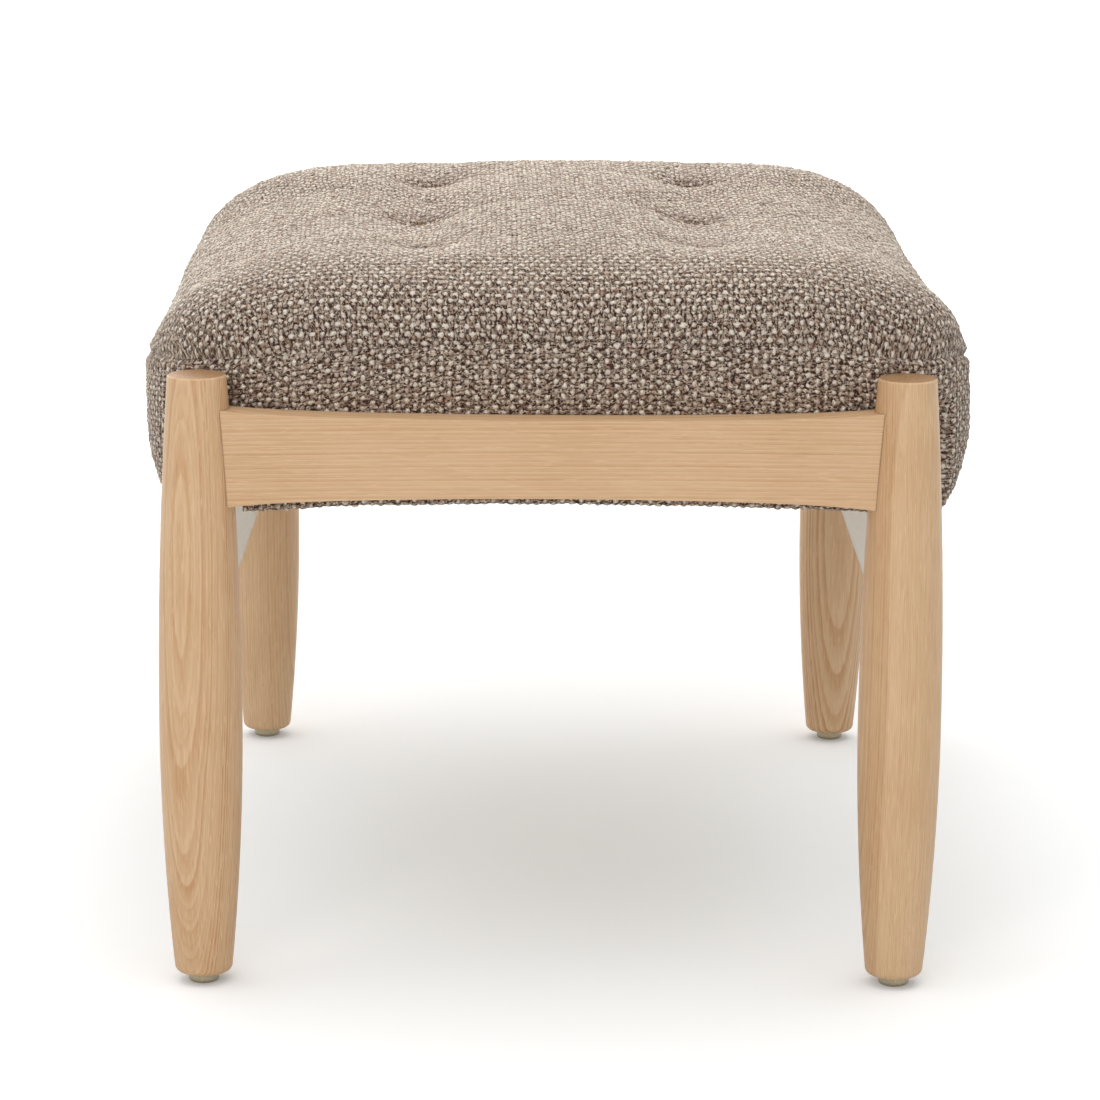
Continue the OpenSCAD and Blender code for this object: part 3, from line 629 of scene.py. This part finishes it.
def weave(p, q):
    """Height of the cloth's face over its ground, in mm, at cloth places p, q (mm).

    Cream yarns lie YARN_P apart and surface as nubs at every second taupe yarn, YARN_Q apart. Between
    the nubs the taupe yarns rise over the cream ones.
    """
    P, Q = p / YARN_P, q / YARN_Q
    height = np.full(p.shape, -9.0)
    for k in (0, 1):
        a, b = P - 0.5 - k, Q - 0.5 - k
        ia, ib = np.round(a / 2), np.round(b / 2)
        r = hash01(ia, ib, 31 + k)
        e2 = ((a - 2 * ia) * YARN_P / 1.85) ** 2 + ((b - 2 * ib) * YARN_Q / 2.1) ** 2
        dome = (0.85 + 0.75 * r) * np.sqrt(np.maximum(0, 1 - e2)) - 0.15
        height = np.where(e2 < 1, np.maximum(height, dome), height)
    row = np.floor(Q)
    fq = Q - row - 0.5
    over = 0.5 - 0.5 * np.cos(math.pi * (P - 0.5 - row))
    strand = (0.25 + 0.55 * over) * np.sqrt(np.maximum(0, 1 - (2.05 * fq) ** 2)) - 0.35
    strand = strand + 0.20 * noise2(p * 0.7, q * 1.1, 7)
    return np.maximum(height, strand) + 0.30 * noise2(p / 7.5, q / 8.5, 9)


def crowned_top(li, lj):
    """The top panel on the grid lines, drawn down by the tufts."""
    top = crown(*np.meshgrid(li, lj))
    top[..., 2] -= dimples(top[..., 0], top[..., 1])
    return top


coarse_top = crowned_top(even_lines(COARSE_X, True), even_lines(COARSE_Y, False))
SWELL = simulate(coarse_top)


def cover_rows(fine):
    """The seat's cloth as patches of grid points: the top panel, the ring of the band, skirts and flaps.

    amp is the weave's share of its full height, and ids are the border columns from which a patch hangs.
    """
    nx, ny = COARSE_X * fine, COARSE_Y * fine
    li, lj = even_lines(nx, True), even_lines(ny, False)
    top = crowned_top(li, lj)
    top = top + np.einsum("ab,bcd,ec->aed", upsample(COARSE_Y, fine), SWELL, upsample(COARSE_X, fine))
    rows, cols = border_of(nx, ny)
    rim = top[rows, cols]
    top = clear_of_legs(settle(top))
    bi, bj = li[cols], lj[rows]
    reach = np.maximum(np.abs(bi), np.abs(bj))
    bi, bj = bi / reach, bj / reach
    share, scale = plan(bi, bj)
    edge_x, edge_y = np.abs(bi) * scale * HALF_X, np.abs(bj) * scale * HALF_Y
    cut_z = CUT_Z - 22 * step(262, 205, edge_y) * (1 - step(0.35, 0.65, share))
    run = run_of(np.vstack([rim, rim[:1]]))
    total = round(run[-1] / (2 * YARN_P)) * 2 * YARN_P
    around = run[:-1] * total / run[-1]

    def line(ids, z):
        return band_line(bi[ids][None] + 0 * z, bj[ids][None] + 0 * z, z)

    def progress(count):
        """How far down its patch each row lies, from just over 0 to 1."""
        return np.arange(1, count * fine + 1)[:, None] / (count * fine)

    def uneven(p, ids, soft):
        """Slow unevenness of the stuffed band."""
        u = around[ids][None] + 0 * p[..., 2]
        wave = 0.8 * noise2(u / 43, p[..., 2] / 33, 3) + 0.45 * noise2(u / 19, p[..., 2] / 24, 5)
        p[..., 0] += np.sign(bi[ids]) * (1 - share[ids]) * wave * soft
        return p

    def tuck(p, axis, s, turned, reach, drop, end, inward):
        """Turns the cloth in below a rail by reach and drop, and then takes it level to end."""
        angle = turned * math.pi / 2
        p[..., axis] -= s * reach * (1 - np.cos(angle))
        p[..., 2] -= drop * np.sin(angle)
        base = np.abs(p[..., axis])
        p[..., axis] = s * (base + (end - base) * inward)

    def side_rows(ids, s):
        """A skirt, which hangs down outside a side rail, turns in under it and ends on its inner side."""
        t = progress(COARSE_SIDE)
        p = line(ids, cut_z[ids] + (SKIRT_FOOT - cut_z[ids]) * part(t, 0, 0.82))
        p = uneven(p, ids, 0.9 * step(226, 240, p[..., 2]))
        tuck(p, 0, s, part(t, 0.82, 0.06), 4.6, 5.3, SKIRT_END, part(t, 0.88, 0.12))
        return p, step(0.90, 0.86, t) + 0 * p[..., 2]

    def end_rows(ids, s):
        """A flap, which hangs down behind an end rail to its lower edge and turns in there."""
        t = progress(COARSE_END)
        hem = rail_bottom(rim[ids, 0]) - 7.8 - 1.6 * step(-110, -180, rim[ids, 0])
        p = line(ids, CUT_Z + (hem + 13 - CUT_Z) * part(t, 0, 0.25) - 9.0 * part(t, 0.25, 0.30))
        tuck(p, 1, s, part(t, 0.55, 0.22), 4.0, 4.0, FLAP_END, part(t, 0.77, 0.23))
        return p, step(0.2, 0.3, t) * step(0.9, 0.8, t) + 0 * p[..., 2]

    def columns(chosen, order):
        """The border's columns in chosen, in order, from one column of the coarse inner face to another."""
        ids = np.where(chosen)[0]
        ids = ids[np.argsort(order[ids])]
        shared = np.where(ids % fine == 0)[0]
        return ids[shared[0]:shared[-1] + 1]

    every = np.arange(len(rows))
    t = progress(COARSE_RING)
    ring = uneven(line(every, rim[:, 2] + (cut_z - rim[:, 2]) * t), every, 0.9 * step(0, 0.3, t))
    ring = clear_of_legs(settle(ring))
    patches = [{"points": top, "amp": 1},
               {"points": np.concatenate([top[rows, cols][None], ring]), "amp": 1, "ids": every}]
    for make, s in ((side_rows, 1), (side_rows, -1), (end_rows, -1), (end_rows, 1)):
        if make is side_rows:
            ids = columns((np.sign(bi) == s) & (edge_x > 213.5) & (share < 0.8), rim[:, 1] * s)
        else:
            ids = columns((np.sign(bj) == s) & (edge_x < 190.5) & (share > 0.5), -s * rim[:, 0])
        p, amp = make(ids, s)
        patches.append({"points": np.concatenate([ring[-1][ids][None], clear_of_legs(settle(p))]),
                        "amp": np.concatenate([amp[:1], amp]), "ids": ids})
    return patches, rows, cols, around, total, li, lj


def grid_normals(p, wrap, outward):
    du = np.roll(p, -1, 1) - np.roll(p, 1, 1) if wrap else np.gradient(p, axis=1)
    dv = np.gradient(p, axis=0)
    n = np.cross(du, dv) * outward
    return n / np.maximum(np.linalg.norm(n, axis=-1, keepdims=True), 1e-9)


def warped(u, v, seed):
    """Cloth places made slightly uneven, as woven cloth that has been pulled over a form is."""
    a = 0.55 * noise2(u / 33, v / 27, seed) + 0.55 * noise2(u / 9, v / 8, seed + 1)
    b = 0.55 * noise2(u / 28, v / 32, seed + 2) + 0.45 * noise2(u / 8, v / 9, seed + 3)
    a += 0.26 * noise2(u / 4.6, v / 3.9, seed + 4)
    b += 0.20 * noise2(u / 5.1, v / 4.3, seed + 5)
    return u + a, v + b


def draped(even, li, lj, cx, cy):
    """Cloth places on the top panel: the plan's, let out along the border's normal where the cloth falls."""
    gi, gj = np.meshgrid(li, lj)
    reach = np.maximum(np.maximum(np.abs(gi), np.abs(gj)), 1e-6)
    share, _ = plan(gi / reach, gj / reach)
    row, col = len(lj) // 2, len(li) // 2
    over_side = np.interp(reach, li[col:], (cx[row] - even[row, :, 0])[col:])
    over_end = np.interp(reach, lj[row:], (cy[:, col] - even[:, col, 1])[row:])
    x, y = even[..., 0], even[..., 1]
    # away from the corners the cloth's own fall at each place counts, not the middle's
    over_side += (np.abs(cx) - np.abs(x) - over_side) * step(0.75, 0.98, 1 - share)
    over_end += (np.abs(cy) - np.abs(y) - over_end) * step(0.75, 0.98, share)
    over = over_side + (over_end - over_side) * share
    nx = np.sign(x) * np.abs(x / HALF_X) ** (PLAN_N - 1) / HALF_X
    ny = np.sign(y) * np.abs(y / HALF_Y) ** (PLAN_N - 1) / HALF_Y
    size = np.maximum(np.hypot(nx, ny), 1e-12)
    return y + over * ny / size, x + over * nx / size


SEAM_CELL = 10.4  # a coarse cell's width on the top, as a distance from the seam
GROOVE, GROOVE_WIDTH, LIP, LIP_PLACE, LIP_WIDTH = 1.7, 2.1, 0.5, 5.0, 3.0
BAKE_WIDTH = 960.0  # millimetres of cloth across the flat layout for baking


def seat_shell(name, fine, inset, depth, woven):
    """A closed layer of the seat, inset below the cover's face. depth is its (band, top) thickness."""
    patches, rows, cols, around, total, li, lj = cover_rows(fine)
    nx, ny, loop = len(li) - 1, len(lj) - 1, len(rows)
    starts = [0, nx, nx + ny, 2 * nx + ny]
    strip_of = np.searchsorted(starts, np.arange(loop), side="right") - 1
    top, ring = patches[:2]
    for p in patches:
        p["normal"] = grid_normals(p["points"], p is ring, 1 if p is top else -1)
        if p is top:
            even = crown(*np.meshgrid(li, lj))
            p["u"], p["v"] = lengths(even, 1), lengths(even, 0)
            p["p"], p["q"] = warped(*draped(even, li, lj, p["u"], p["v"]), 11)
            col, row = np.arange(nx + 1)[None], np.arange(ny + 1)[:, None]
            edge = np.minimum(np.minimum(col, nx - col), np.minimum(row, ny - row))
            p["seam"] = edge * SEAM_CELL / fine
        else:
            start = 0 if p is ring else ring["v"][-1][p["ids"]]
            p["v"] = p["seam"] = start + run_of(p["points"])
            u = around[p["ids"]].copy()
            back = np.where(np.diff(u) < -total / 2)[0]
            if len(back):
                u[back[0] + 1:] += total
            p["u"] = u[None] + 0 * p["v"]
            p["p"], p["q"] = warped(p["u"], p["v"], 21)
        groove = (GROOVE * np.exp(-(p["seam"] / GROOVE_WIDTH) ** 2)
                  - LIP * np.exp(-((p["seam"] - LIP_PLACE) / LIP_WIDTH) ** 2))
        p["base"] = p["points"] - p["normal"] * (groove[..., None] * woven + inset)

    # points: a ring's first row is the top's border, and a hanging patch's first row is the ring's last
    verts, count = [], 0
    for p in patches:
        high = weave(p["p"], p["q"]) * p["amp"] * step(-0.5, 2.0, p["seam"]) * woven
        lead = []
        if p is not top:
            above, at = (top, (rows, cols)) if p is ring else (ring, (-1, p["ids"]))
            for key in ("base", "normal"):
                p[key][0] = above[key][at]
            lead = [above["grid"][at][None]]
        out = (p["base"] + p["normal"] * high[..., None])[len(lead):]
        p["grid"] = np.concatenate(lead + [count + numbered(out)])
        verts.append(out.reshape(-1, 3))
        count += len(verts[-1])

    # faces, with the cloth's places and a flat layout for baking at each corner
    quads, cloth_map, bake_map = [], [], []
    wide = float(np.ptp(top["u"])) + 10
    tall = float(np.ptp(top["v"])) + 10
    spots = ((4.0, tall, 0), (wide, 4.0, 1), (4.0, tall + 135, 0), (wide + 185, 4.0, 1))
    for p in patches:
        if p is top:
            quads.append(cells(p["grid"]))
            cloth_map.append(np.stack([cells(p["p"]), cells(p["q"])], -1))
            bake_map.append(np.stack([cells(p[key] - p[key].min() + 4) for key in "uv"], -1))
            continue
        wrap = p is ring
        # a ring's columns close on themselves, a whole turn further on
        u, v, along, across = (np.concatenate([p[key], p[key][:, :1] + more], 1) if wrap else p[key]
                               for key, more in (("u", total), ("v", 0), ("p", total), ("q", 0)))
        quads.append(cells(p["grid"], wrap)[:, ::-1])
        cloth_map.append(np.stack([cells(along), cells(across)], -1)[:, ::-1])
        u, v = cells(u), cells(v)
        own = p["ids"] if wrap else p["ids"][:-1]
        strips = np.tile(strip_of[own], p["grid"].shape[0] - 1)
        flat = np.zeros(u.shape + (2,))
        for k, (ox, oy, upright) in enumerate(spots):
            at = strips == k
            along = u[at] - around[starts[k]]
            along = np.where(along > total * 0.6, along - total, np.where(along < -1, along + total, along))
            flat[at] = np.stack([ox + v[at], oy + along] if upright else [ox + along, oy + v[at]], -1)
        bake_map.append(flat[:, ::-1])

    inner_of, inner, extra = {}, [], []
    for p in patches:
        grid, base, nrm = (p[k][::fine, ::fine] for k in ("grid", "base", "normal"))
        for v, point, n in zip(grid.ravel().tolist(), base.reshape(-1, 3), nrm.reshape(-1, 3)):
            if v not in inner_of:
                inner_of[v] = count + len(inner)
                inner.append(point - n * depth[p is top])
        q = cells(np.vectorize(inner_of.get)(grid), p is ring)
        extra += (q[:, ::-1] if p is top else q).tolist()

    def close(run):
        """Joins a free edge of the outer face to the inner one."""
        run = [int(v) for v in run]
        for k in range(0, len(run) - 1, fine):
            piece = run[k:k + fine + 1]
            extra.append(piece + [inner_of[piece[-1]], inner_of[piece[0]]])

    held = np.zeros(loop, bool)
    for p in patches[2:]:
        close(p["grid"][-1])
        close(p["grid"][::-1, -1])
        close(p["grid"][:, 0])
        held[p["ids"]] = True
    begin = int(np.where(held & ~np.roll(held, -1))[0][0])
    run = []
    for k in range(loop + 1):
        c = (begin + k) % loop
        if not held[c]:
            run.append(c)
        elif run:
            close(ring["grid"][-1][[(run[0] - 1) % loop] + run + [c]])
            run = []

    points = np.concatenate(verts + [np.array(inner)])
    quads, cloth_map, bake_map = (np.concatenate(v) for v in (quads, cloth_map, bake_map))
    me = bpy.data.meshes.new(name)
    corners = np.concatenate([quads.ravel(), np.array([v for f in extra for v in f])])
    sizes = np.concatenate([np.full(len(quads), 4), np.array([len(f) for f in extra])])
    me.vertices.add(len(points))
    me.vertices.foreach_set("co", (points * MM).ravel().astype(np.float32))
    me.loops.add(len(corners))
    me.loops.foreach_set("vertex_index", corners.astype(np.int32))
    me.polygons.add(len(sizes))
    me.polygons.foreach_set("loop_start", (np.cumsum(sizes) - sizes).astype(np.int32))
    me.polygons.foreach_set("loop_total", sizes.astype(np.int32))
    me.polygons.foreach_set("use_smooth", np.ones(len(sizes), bool))
    me.polygons.foreach_set("material_index", (np.arange(len(sizes)) >= len(quads)).astype(np.int32))
    if woven:
        seen = len(quads) * 4
        data = np.zeros((len(corners), 2), np.float32)
        data[:seen] = cloth_map.reshape(-1, 2) / 100
        me.uv_layers.new(name="cloth").data.foreach_set("uv", data.ravel())
        data[:seen] = bake_map.reshape(-1, 2) / BAKE_WIDTH
        hidden = points[corners[seen:]]
        data[seen:, 0] = 0.655 + (hidden[:, 0] + 260) / 520 * 0.30
        data[seen:, 1] = 0.70 + (hidden[:, 1] + 300) / 600 * 0.27
        me.uv_layers.new(name="OFBake").data.foreach_set("uv", data.ravel())
    me.update()
    me.validate()
    return placed(name, me)


def build_foam():
    """The foam block: a flat foot, upright sides and a crowned top that follows the tufts."""
    foot = 354.2
    top = coarse_top + SWELL
    top = np.stack([top[..., 0] * 0.935, top[..., 1] * 0.945, foot + (top[..., 2] - foot) * 0.70], -1)
    grid = numbered(top)
    rows, cols = border_of(COARSE_X, COARSE_Y)
    prev, rim = grid[rows, cols], top[rows, cols]
    verts, faces, count = [top.reshape(-1, 3)], cells(grid).tolist(), grid.size
    for t in (0.35, 0.7, 0.93, 1.0):
        swell = 1 + 0.018 * math.sin(math.pi * t) - (0.004 if t == 1.0 else 0)
        z = rim[:, 2] + (foot - rim[:, 2]) * t
        verts.append(np.stack([rim[:, 0] * swell, rim[:, 1] * swell, z], -1))
        here = count + np.arange(len(rim))
        count += len(rim)
        faces += np.stack([prev, here, np.roll(here, -1), np.roll(prev, -1)], -1).tolist()
        prev = here
    faces.append(prev[::-1].tolist())
    return new_object("foam_core", np.concatenate(verts), faces)


def strap(name, start, end, width, overs):
    """A webbing strap that passes over the crossing places in overs, and under the others."""
    start, end = np.array(start, float), np.array(end, float)
    span = np.linalg.norm(end - start)
    d = (end - start) / span
    side = np.array([-d[1], d[0], 0.0])
    s = np.linspace(0, span, int(span / 6) + 1)
    lift = 0 * s
    for at in overs:
        lift = np.maximum(lift, step(width / 2 + 16, width / 2 + 2, np.abs(s - at)))
    mid = start + d * s[:, None]
    mid[:, 2] += 0.75 + 1.55 * lift
    k = np.arange(9)
    mid = mid[None] + side * (-width / 2 + width * k / 8)[:, None, None]
    half = np.zeros((9, 1, 3))
    half[:, 0, 2] = np.where(k % 8 == 0, 0.72 * 1.12, 0.72)
    return slab(name, mid + half, mid - half)


def sheet(name, corner, along, across, counts, out, sag, thick):
    """A flat sheet of cloth with a slight sag towards out, and a face on both sides."""
    corner, along, across, out = (np.array(v, float) for v in (corner, along, across, out))
    u, v = np.meshgrid(*(np.linspace(0, 1, n + 1) for n in counts))
    bow = 16 * u * (1 - u) * v * (1 - v)
    rise = sag * bow ** 0.8 + 0.22 * sag * noise2(u * 7, v * 5, 41) * bow
    p = corner + along * u[..., None] + across * v[..., None] + out * rise[..., None]
    faces = (p + out * thick, p)
    return slab(name, *(faces if np.cross(along, across) @ out > 0 else faces[::-1]))


NUB_P, NUB_Q = 1.55, 1.78  # half widths of a nub, along p and q
NUB_DRIFT_P, NUB_DRIFT_Q = 1.15, 0.95
# the first colour is the ground yarn's dark marl, and also the shade painted into the gaps between yarns
GROUND_AND_GAP_SHADE, RED_FLECK, WORN_NUB = rgb(44, 30, 26), rgb(98, 64, 52), rgb(166, 144, 128)
TAUPE = (rgb(72, 51, 45), rgb(188, 168, 150), rgb(232, 216, 198))
# cream yarn tones, darker and paler at random; the last is a highlight painted on each nub's core
CREAM_AND_HIGHLIGHT = (rgb(198, 180, 162), rgb(238, 228, 212), rgb(255, 250, 240))


def boucle(name):
    """Chunky plain weave: cream yarns that surface as nubs between marled taupe yarns."""
    g = Graph(name)
    mm = g.mapped(g.fill(g.add("UVMap", uv_map="cloth"), {}), scale=(100, 100, 1))

    def noise(scale, detail=2.0, rough=0.5, shift=(0, 0, 0)):
        return g.noise(g.mapped(mm, loc=shift), scale, detail, rough, "2D")

    p0, q0, _ = g.split(mm)
    p = p0 + (noise(0.30) - 0.5) * NUB_DRIFT_P
    q = q0 + (noise(0.30, shift=(31, 17, 0)) - 0.5) * NUB_DRIFT_Q
    P, Q = p / YARN_P, q / YARN_Q
    far, luck = [], []
    for k in (0, 1):
        a, b = P - (0.5 + k), Q - (0.5 + k)
        ia, ib = g.math("ROUND", a * 0.5), g.math("ROUND", b * 0.5)
        white = g.add("TexWhiteNoise", noise_dimensions="3D")
        size = g.span(g.fill(white, {"Vector": g.join(ia, ib, float(k))}), 0, 1, 0.90, 1.15)
        far.append(g.far((a - ia * 2) * (YARN_P / NUB_P), (b - ib * 2) * (YARN_Q / NUB_Q)) / size)
        luck.append(g.fill(white, {}, 1))
    chance = g.split(g.mix(g.math("LESS_THAN", *far), luck[1], luck[0]))[1]
    e = g.math("MINIMUM", *far) + (noise(0.62, 2.0, 0.6, (3, 8, 0)) - 0.5)
    nub, core = g.step(1.00, 0.72, e), g.step(0.85, 0.10, e)
    row = g.math("FLOOR", Q)
    fq = g.math("ABSOLUTE", Q - row - 0.5)
    over = 0.5 - g.math("COSINE", (P - 0.5 - row) * math.pi) * 0.5
    streak = g.noise(g.join(p * 0.62 + q * 0.45, q * 1.25, 0.0), 0.50, 2.0, 0.55, "2D")
    fuzz = noise(0.58, shift=(11, 4, 0))
    hair = noise(0.95, 2.0, 0.6, (5, 9, 0))
    red = g.step(0.56, 0.68, noise(0.30, 2.0, 0.6, (7, 3, 0)))
    taupe = g.mix(g.step(0.46, 0.54, streak), TAUPE[0], TAUPE[1])
    taupe = g.mix(g.step(0.54, 0.61, fuzz) * 0.85, taupe, TAUPE[2])
    taupe = g.mix(red * 0.45, taupe, RED_FLECK)
    # painted shade: the gaps between yarns and a ring round each nub darken, standing for the shade in these
    # hollows; the deep patches are the yarn's own dark marl
    gap = g.math("MAXIMUM", g.step(0.27, 0.46, fq), g.step(0.36, 0.06, over))
    rim = g.step(0.86, 1.06, e) * g.step(1.60, 1.15, e)
    dark = g.math("MAXIMUM", gap * 0.8, rim * 0.6) * g.span(hair, 0.38, 0.60, 1.0, 0.45)
    deep = g.step(0.50, 0.60, noise(0.40, shift=(13, 29, 0))) * 0.60
    ground = g.mix(g.math("MAXIMUM", dark, deep), taupe, GROUND_AND_GAP_SHADE)
    cream = g.mix(g.step(0.42, 0.56, fuzz), CREAM_AND_HIGHLIGHT[0], CREAM_AND_HIGHLIGHT[1])
    # painted highlight: each nub's core is paler, as the lit top of a round nub
    cream = g.mix(core * 0.75, cream, CREAM_AND_HIGHLIGHT[2])
    cream = g.mix(g.step(0.78, 1.0, chance) * 0.6, cream, WORN_NUB)
    colour = g.mix(nub, ground, cream)
    x, y, _ = g.split(g.place())
    # painted shade: the cloth is darkened round each tuft, standing for the shade in its pit
    for tx, ty, _ in TUFTS:
        dx, dy = (x - tx * MM) / (PIT_SHADE * MM), (y - ty * MM) / (PIT_SHADE * MM)
        pit = g.math("EXPONENT", (dx * dx + dy * dy) * -1.0)
        colour = g.mix(pit * 0.45, colour, rgb(150, 122, 106), "MULTIPLY")
    speck = g.step(0.55, 0.66, noise(0.165, 2.0, 0.55, (2, 6, 0)))
    colour = g.mix(speck * 0.55, colour, rgb(182, 142, 124), "MULTIPLY")
    strand = (1.0 - fq * 1.9) * g.span(over, 0, 1, 0.3, 1.0)
    g.bump(core * 0.9 + strand * 0.5 + (fuzz * 0.9 + hair * 0.22), 0.85, 0.0013)
    return g.finish(colour, 0.95, 0.10, 0.5, rgb(250, 238, 224))


def dress(ob, node, slot, *materials):
    for m in materials:
        ob.data.materials.append(m)
    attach(ob, "root")
    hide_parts(node)
    return ob


def stretch(ob, node, slot, material):
    dress(ob, node, slot, material)


cover = dress(seat_shell("seat_cushion_cover", FINE, 0.0, (2.4, 2.4), 1.0), "seat_cover", "boucle",
              boucle("boucle_cloth"), cloth("boucle_back", rgb(196, 182, 164), rgb(140, 124, 108), 0.0016))
felt = cloth("wadding_felt", rgb(236, 232, 222), rgb(206, 198, 184), 0.0031, 0.97)
wrap = dress(seat_shell("wadding_wrap", 1, 3.4, (3.6, 9.0), 0.0), "wadding", "wadding", felt, felt)
foam = dress(build_foam(), "foam_block", "foam",
             cloth("foam_cells", rgb(238, 222, 176), rgb(206, 184, 132), 0.0023))

WEBBING_X, WEBBING_Y, WEBBING_Z = (-130.5, -43.5, 43.5, 130.5), (-195, -65, 65, 195), 350
CROSS_HALF, LONG_HALF = 213.5, 272.7
webbing = cloth("jute_webbing", rgb(196, 164, 118), rgb(134, 102, 66), 0.0022)
for k, y in enumerate(WEBBING_Y):
    overs = [CROSS_HALF + x for j, x in enumerate(WEBBING_X) if (j + k) % 2]
    ob = strap(f"cross_webbing_{k + 1}", (-CROSS_HALF, y, WEBBING_Z), (CROSS_HALF, y, WEBBING_Z), 60, overs)
    stretch(ob, f"cross_strap_{k + 1}", "webbing", webbing)
for j, x in enumerate(WEBBING_X):
    overs = [LONG_HALF + y for k, y in enumerate(WEBBING_Y) if not (j + k) % 2]
    ob = strap(f"long_webbing_{j + 1}", (x, -LONG_HALF, WEBBING_Z), (x, LONG_HALF, WEBBING_Z), 50, overs)
    stretch(ob, f"long_strap_{j + 1}", "webbing", webbing)

canvas = cloth("lining_canvas", rgb(254, 250, 242), rgb(236, 226, 210), 0.0011)
for side, sx in (("left", -1), ("right", 1)):
    ob = sheet(f"{side}_lining_cloth", (sx * 197.45, -256.6, 225.2), (0, 513.2, 0), (0, 0, 75.7), (64, 10),
               (-sx, 0, 0), 0.7, 0.6)
    stretch(ob, f"{side}_lining", "canvas", canvas)
under = sheet("dust_cover_cloth", (-196.6, -256.6, 301.0), (393.2, 0, 0), (0, 513.2, 0), (48, 60), (0, 0, -1),
              3.0, 0.7)
stretch(under, "dust_cover", "canvas", canvas)
hessian = cloth("hessian", rgb(190, 160, 116), rgb(140, 110, 72), 0.0019)
carrier = sheet("support_cloth_sheet", (-196.5, -272.6, 353.35), (393.0, 0, 0), (0, 545.2, 0), (40, 50),
                (0, 0, 1), 0.0, 0.6)
stretch(carrier, "support_cloth", "jute", hessian)
paint("tuft_twines", cloth("waxed_twine", rgb(178, 148, 108), rgb(120, 92, 60), 0.0006))


# Camera, light and floor
EYE = (-0.00594, -2.7044, 0.7926)
BEARING, PITCH, ROLL = (math.radians(v) for v in (0.123, 12.25, 0.339))
FOCAL_LENGTH, PHOTO_WIDTH, SENSOR = 4142, 1100, 36  # pixels, pixels and millimetres
MIDDLE = Vector((0, 0, 0.25))
# the side lift is light painted onto the floor at the stool's sides, lightening its shadow's sides
WORLD_LEVEL, FLOOR_LIFT, PAINTED_SIDE_LIGHT, FLOOR_HALF = 0.50, 0.118, 0.09, 20000


def lay_camera():
    level = math.cos(PITCH)
    forward = Vector((math.sin(BEARING) * level, math.cos(BEARING) * level, -math.sin(PITCH)))
    right = Vector((math.cos(BEARING), -math.sin(BEARING), 0))
    up = right.cross(forward)
    across = right * math.cos(ROLL) + up * math.sin(ROLL)
    upright = up * math.cos(ROLL) - right * math.sin(ROLL)
    cam = placed("camera", bpy.data.cameras.new("camera"))
    cam.matrix_world = Matrix.Translation(EYE) @ Matrix((across, upright, -forward)).transposed().to_4x4()
    cam.data.sensor_width = SENSOR
    cam.data.lens = FOCAL_LENGTH / PHOTO_WIDTH * SENSOR
    bpy.context.scene.camera = cam


def area(name, place, size, power):
    """A soft light that looks at the part's middle."""
    light = bpy.data.lights.new(name, "AREA")
    light.shape = "RECTANGLE"
    light.size, light.size_y = size
    light.energy = power
    ob = placed(name, light)
    ob.location = place
    ob.rotation_mode = "QUATERNION"
    ob.rotation_quaternion = (MIDDLE - Vector(place)).to_track_quat("-Z", "Y")
    return ob


def lay_floor():
    """A floor that keeps the shadow, with light painted onto it at the stool's sides, and looks white to the
    camera, in metal and through glass.
    """
    g = Graph("floor_white")
    geo = g.add("NewGeometry")
    x, y, _ = g.split(g.fill(geo, {}, "Position"))
    # painted light: the floor glows brighter at the stool's sides, lightening the sides of its shadow
    beside = g.step(0.21, 0.40, g.math("ABSOLUTE", x)) * PAINTED_SIDE_LIGHT
    lift = beside + FLOOR_LIFT + g.step(0.75, 2.2, g.far(x, y))
    dull = g.fill(g.add("BsdfDiffuse"), {0: (0.80, 0.80, 0.795, 1)})
    bright = g.fill(g.add("BsdfDiffuse"), {0: (0.98, 0.98, 0.985, 1)})
    glow = g.fill(g.add("Emission"), {0: (0.92, 1.0, 1.0, 1), 1: lift})
    white = g.fill(g.add("AddShader"), {0: bright, 1: glow})
    seen = g.math("MAXIMUM", g.ray("Camera"), g.math("MAXIMUM", g.ray("Glossy"), g.ray("Transmission")))
    top_side = g.fill(g.add("MixShader"), {0: seen, 1: dull, 2: white})
    clear = g.fill(g.add("BsdfTransparent"), {})
    below = g.ray("Camera") * g.fill(geo, {}, "Backfacing")
    final = g.fill(g.add("MixShader"), {0: below, 1: top_side, 2: clear})
    g.put(final, g.tree.nodes["Material Output"].inputs[0])
    corners = [(sx * FLOOR_HALF, sy * FLOOR_HALF, 0) for sx, sy in ((-1, -1), (1, -1), (1, 1), (-1, 1))]
    floor = new_object("floor", corners, [(0, 1, 2, 3)], smooth=False)
    floor.data.materials.append(g.owner)
    return floor


def lay_stage():
    bpy.context.scene.view_settings.view_transform = "Standard"
    lay_camera()
    g = Graph("studio", "worlds")
    bpy.context.scene.world = g.owner
    seen = g.math("MAXIMUM", g.ray("Camera"), g.ray("Transmission"))
    g.fill(g.tree.nodes["Background"], {0: (1.0, 0.99, 0.975, 1), 1: g.span(seen, 0, 1, WORLD_LEVEL, 1.0)})
    area("overhead", (-0.22, 0.1, 2.7), (5.0, 5.0), 77)
    area("front_fill", (-0.7, -3.2, 1.5), (1.8, 1.4), 23)
    behind = area("behind", (-0.2, 1.9, 1.5), (2.8, 1.4), 62)
    # the light behind brings out the cloth's nap and leaves the floor alone
    unlit = bpy.data.collections.new("unlit_from_behind")
    unlit.objects.link(lay_floor())
    unlit.collection_objects[0].light_linking.link_state = "EXCLUDE"
    behind.light_linking.receiver_collection = unlit


lay_stage()
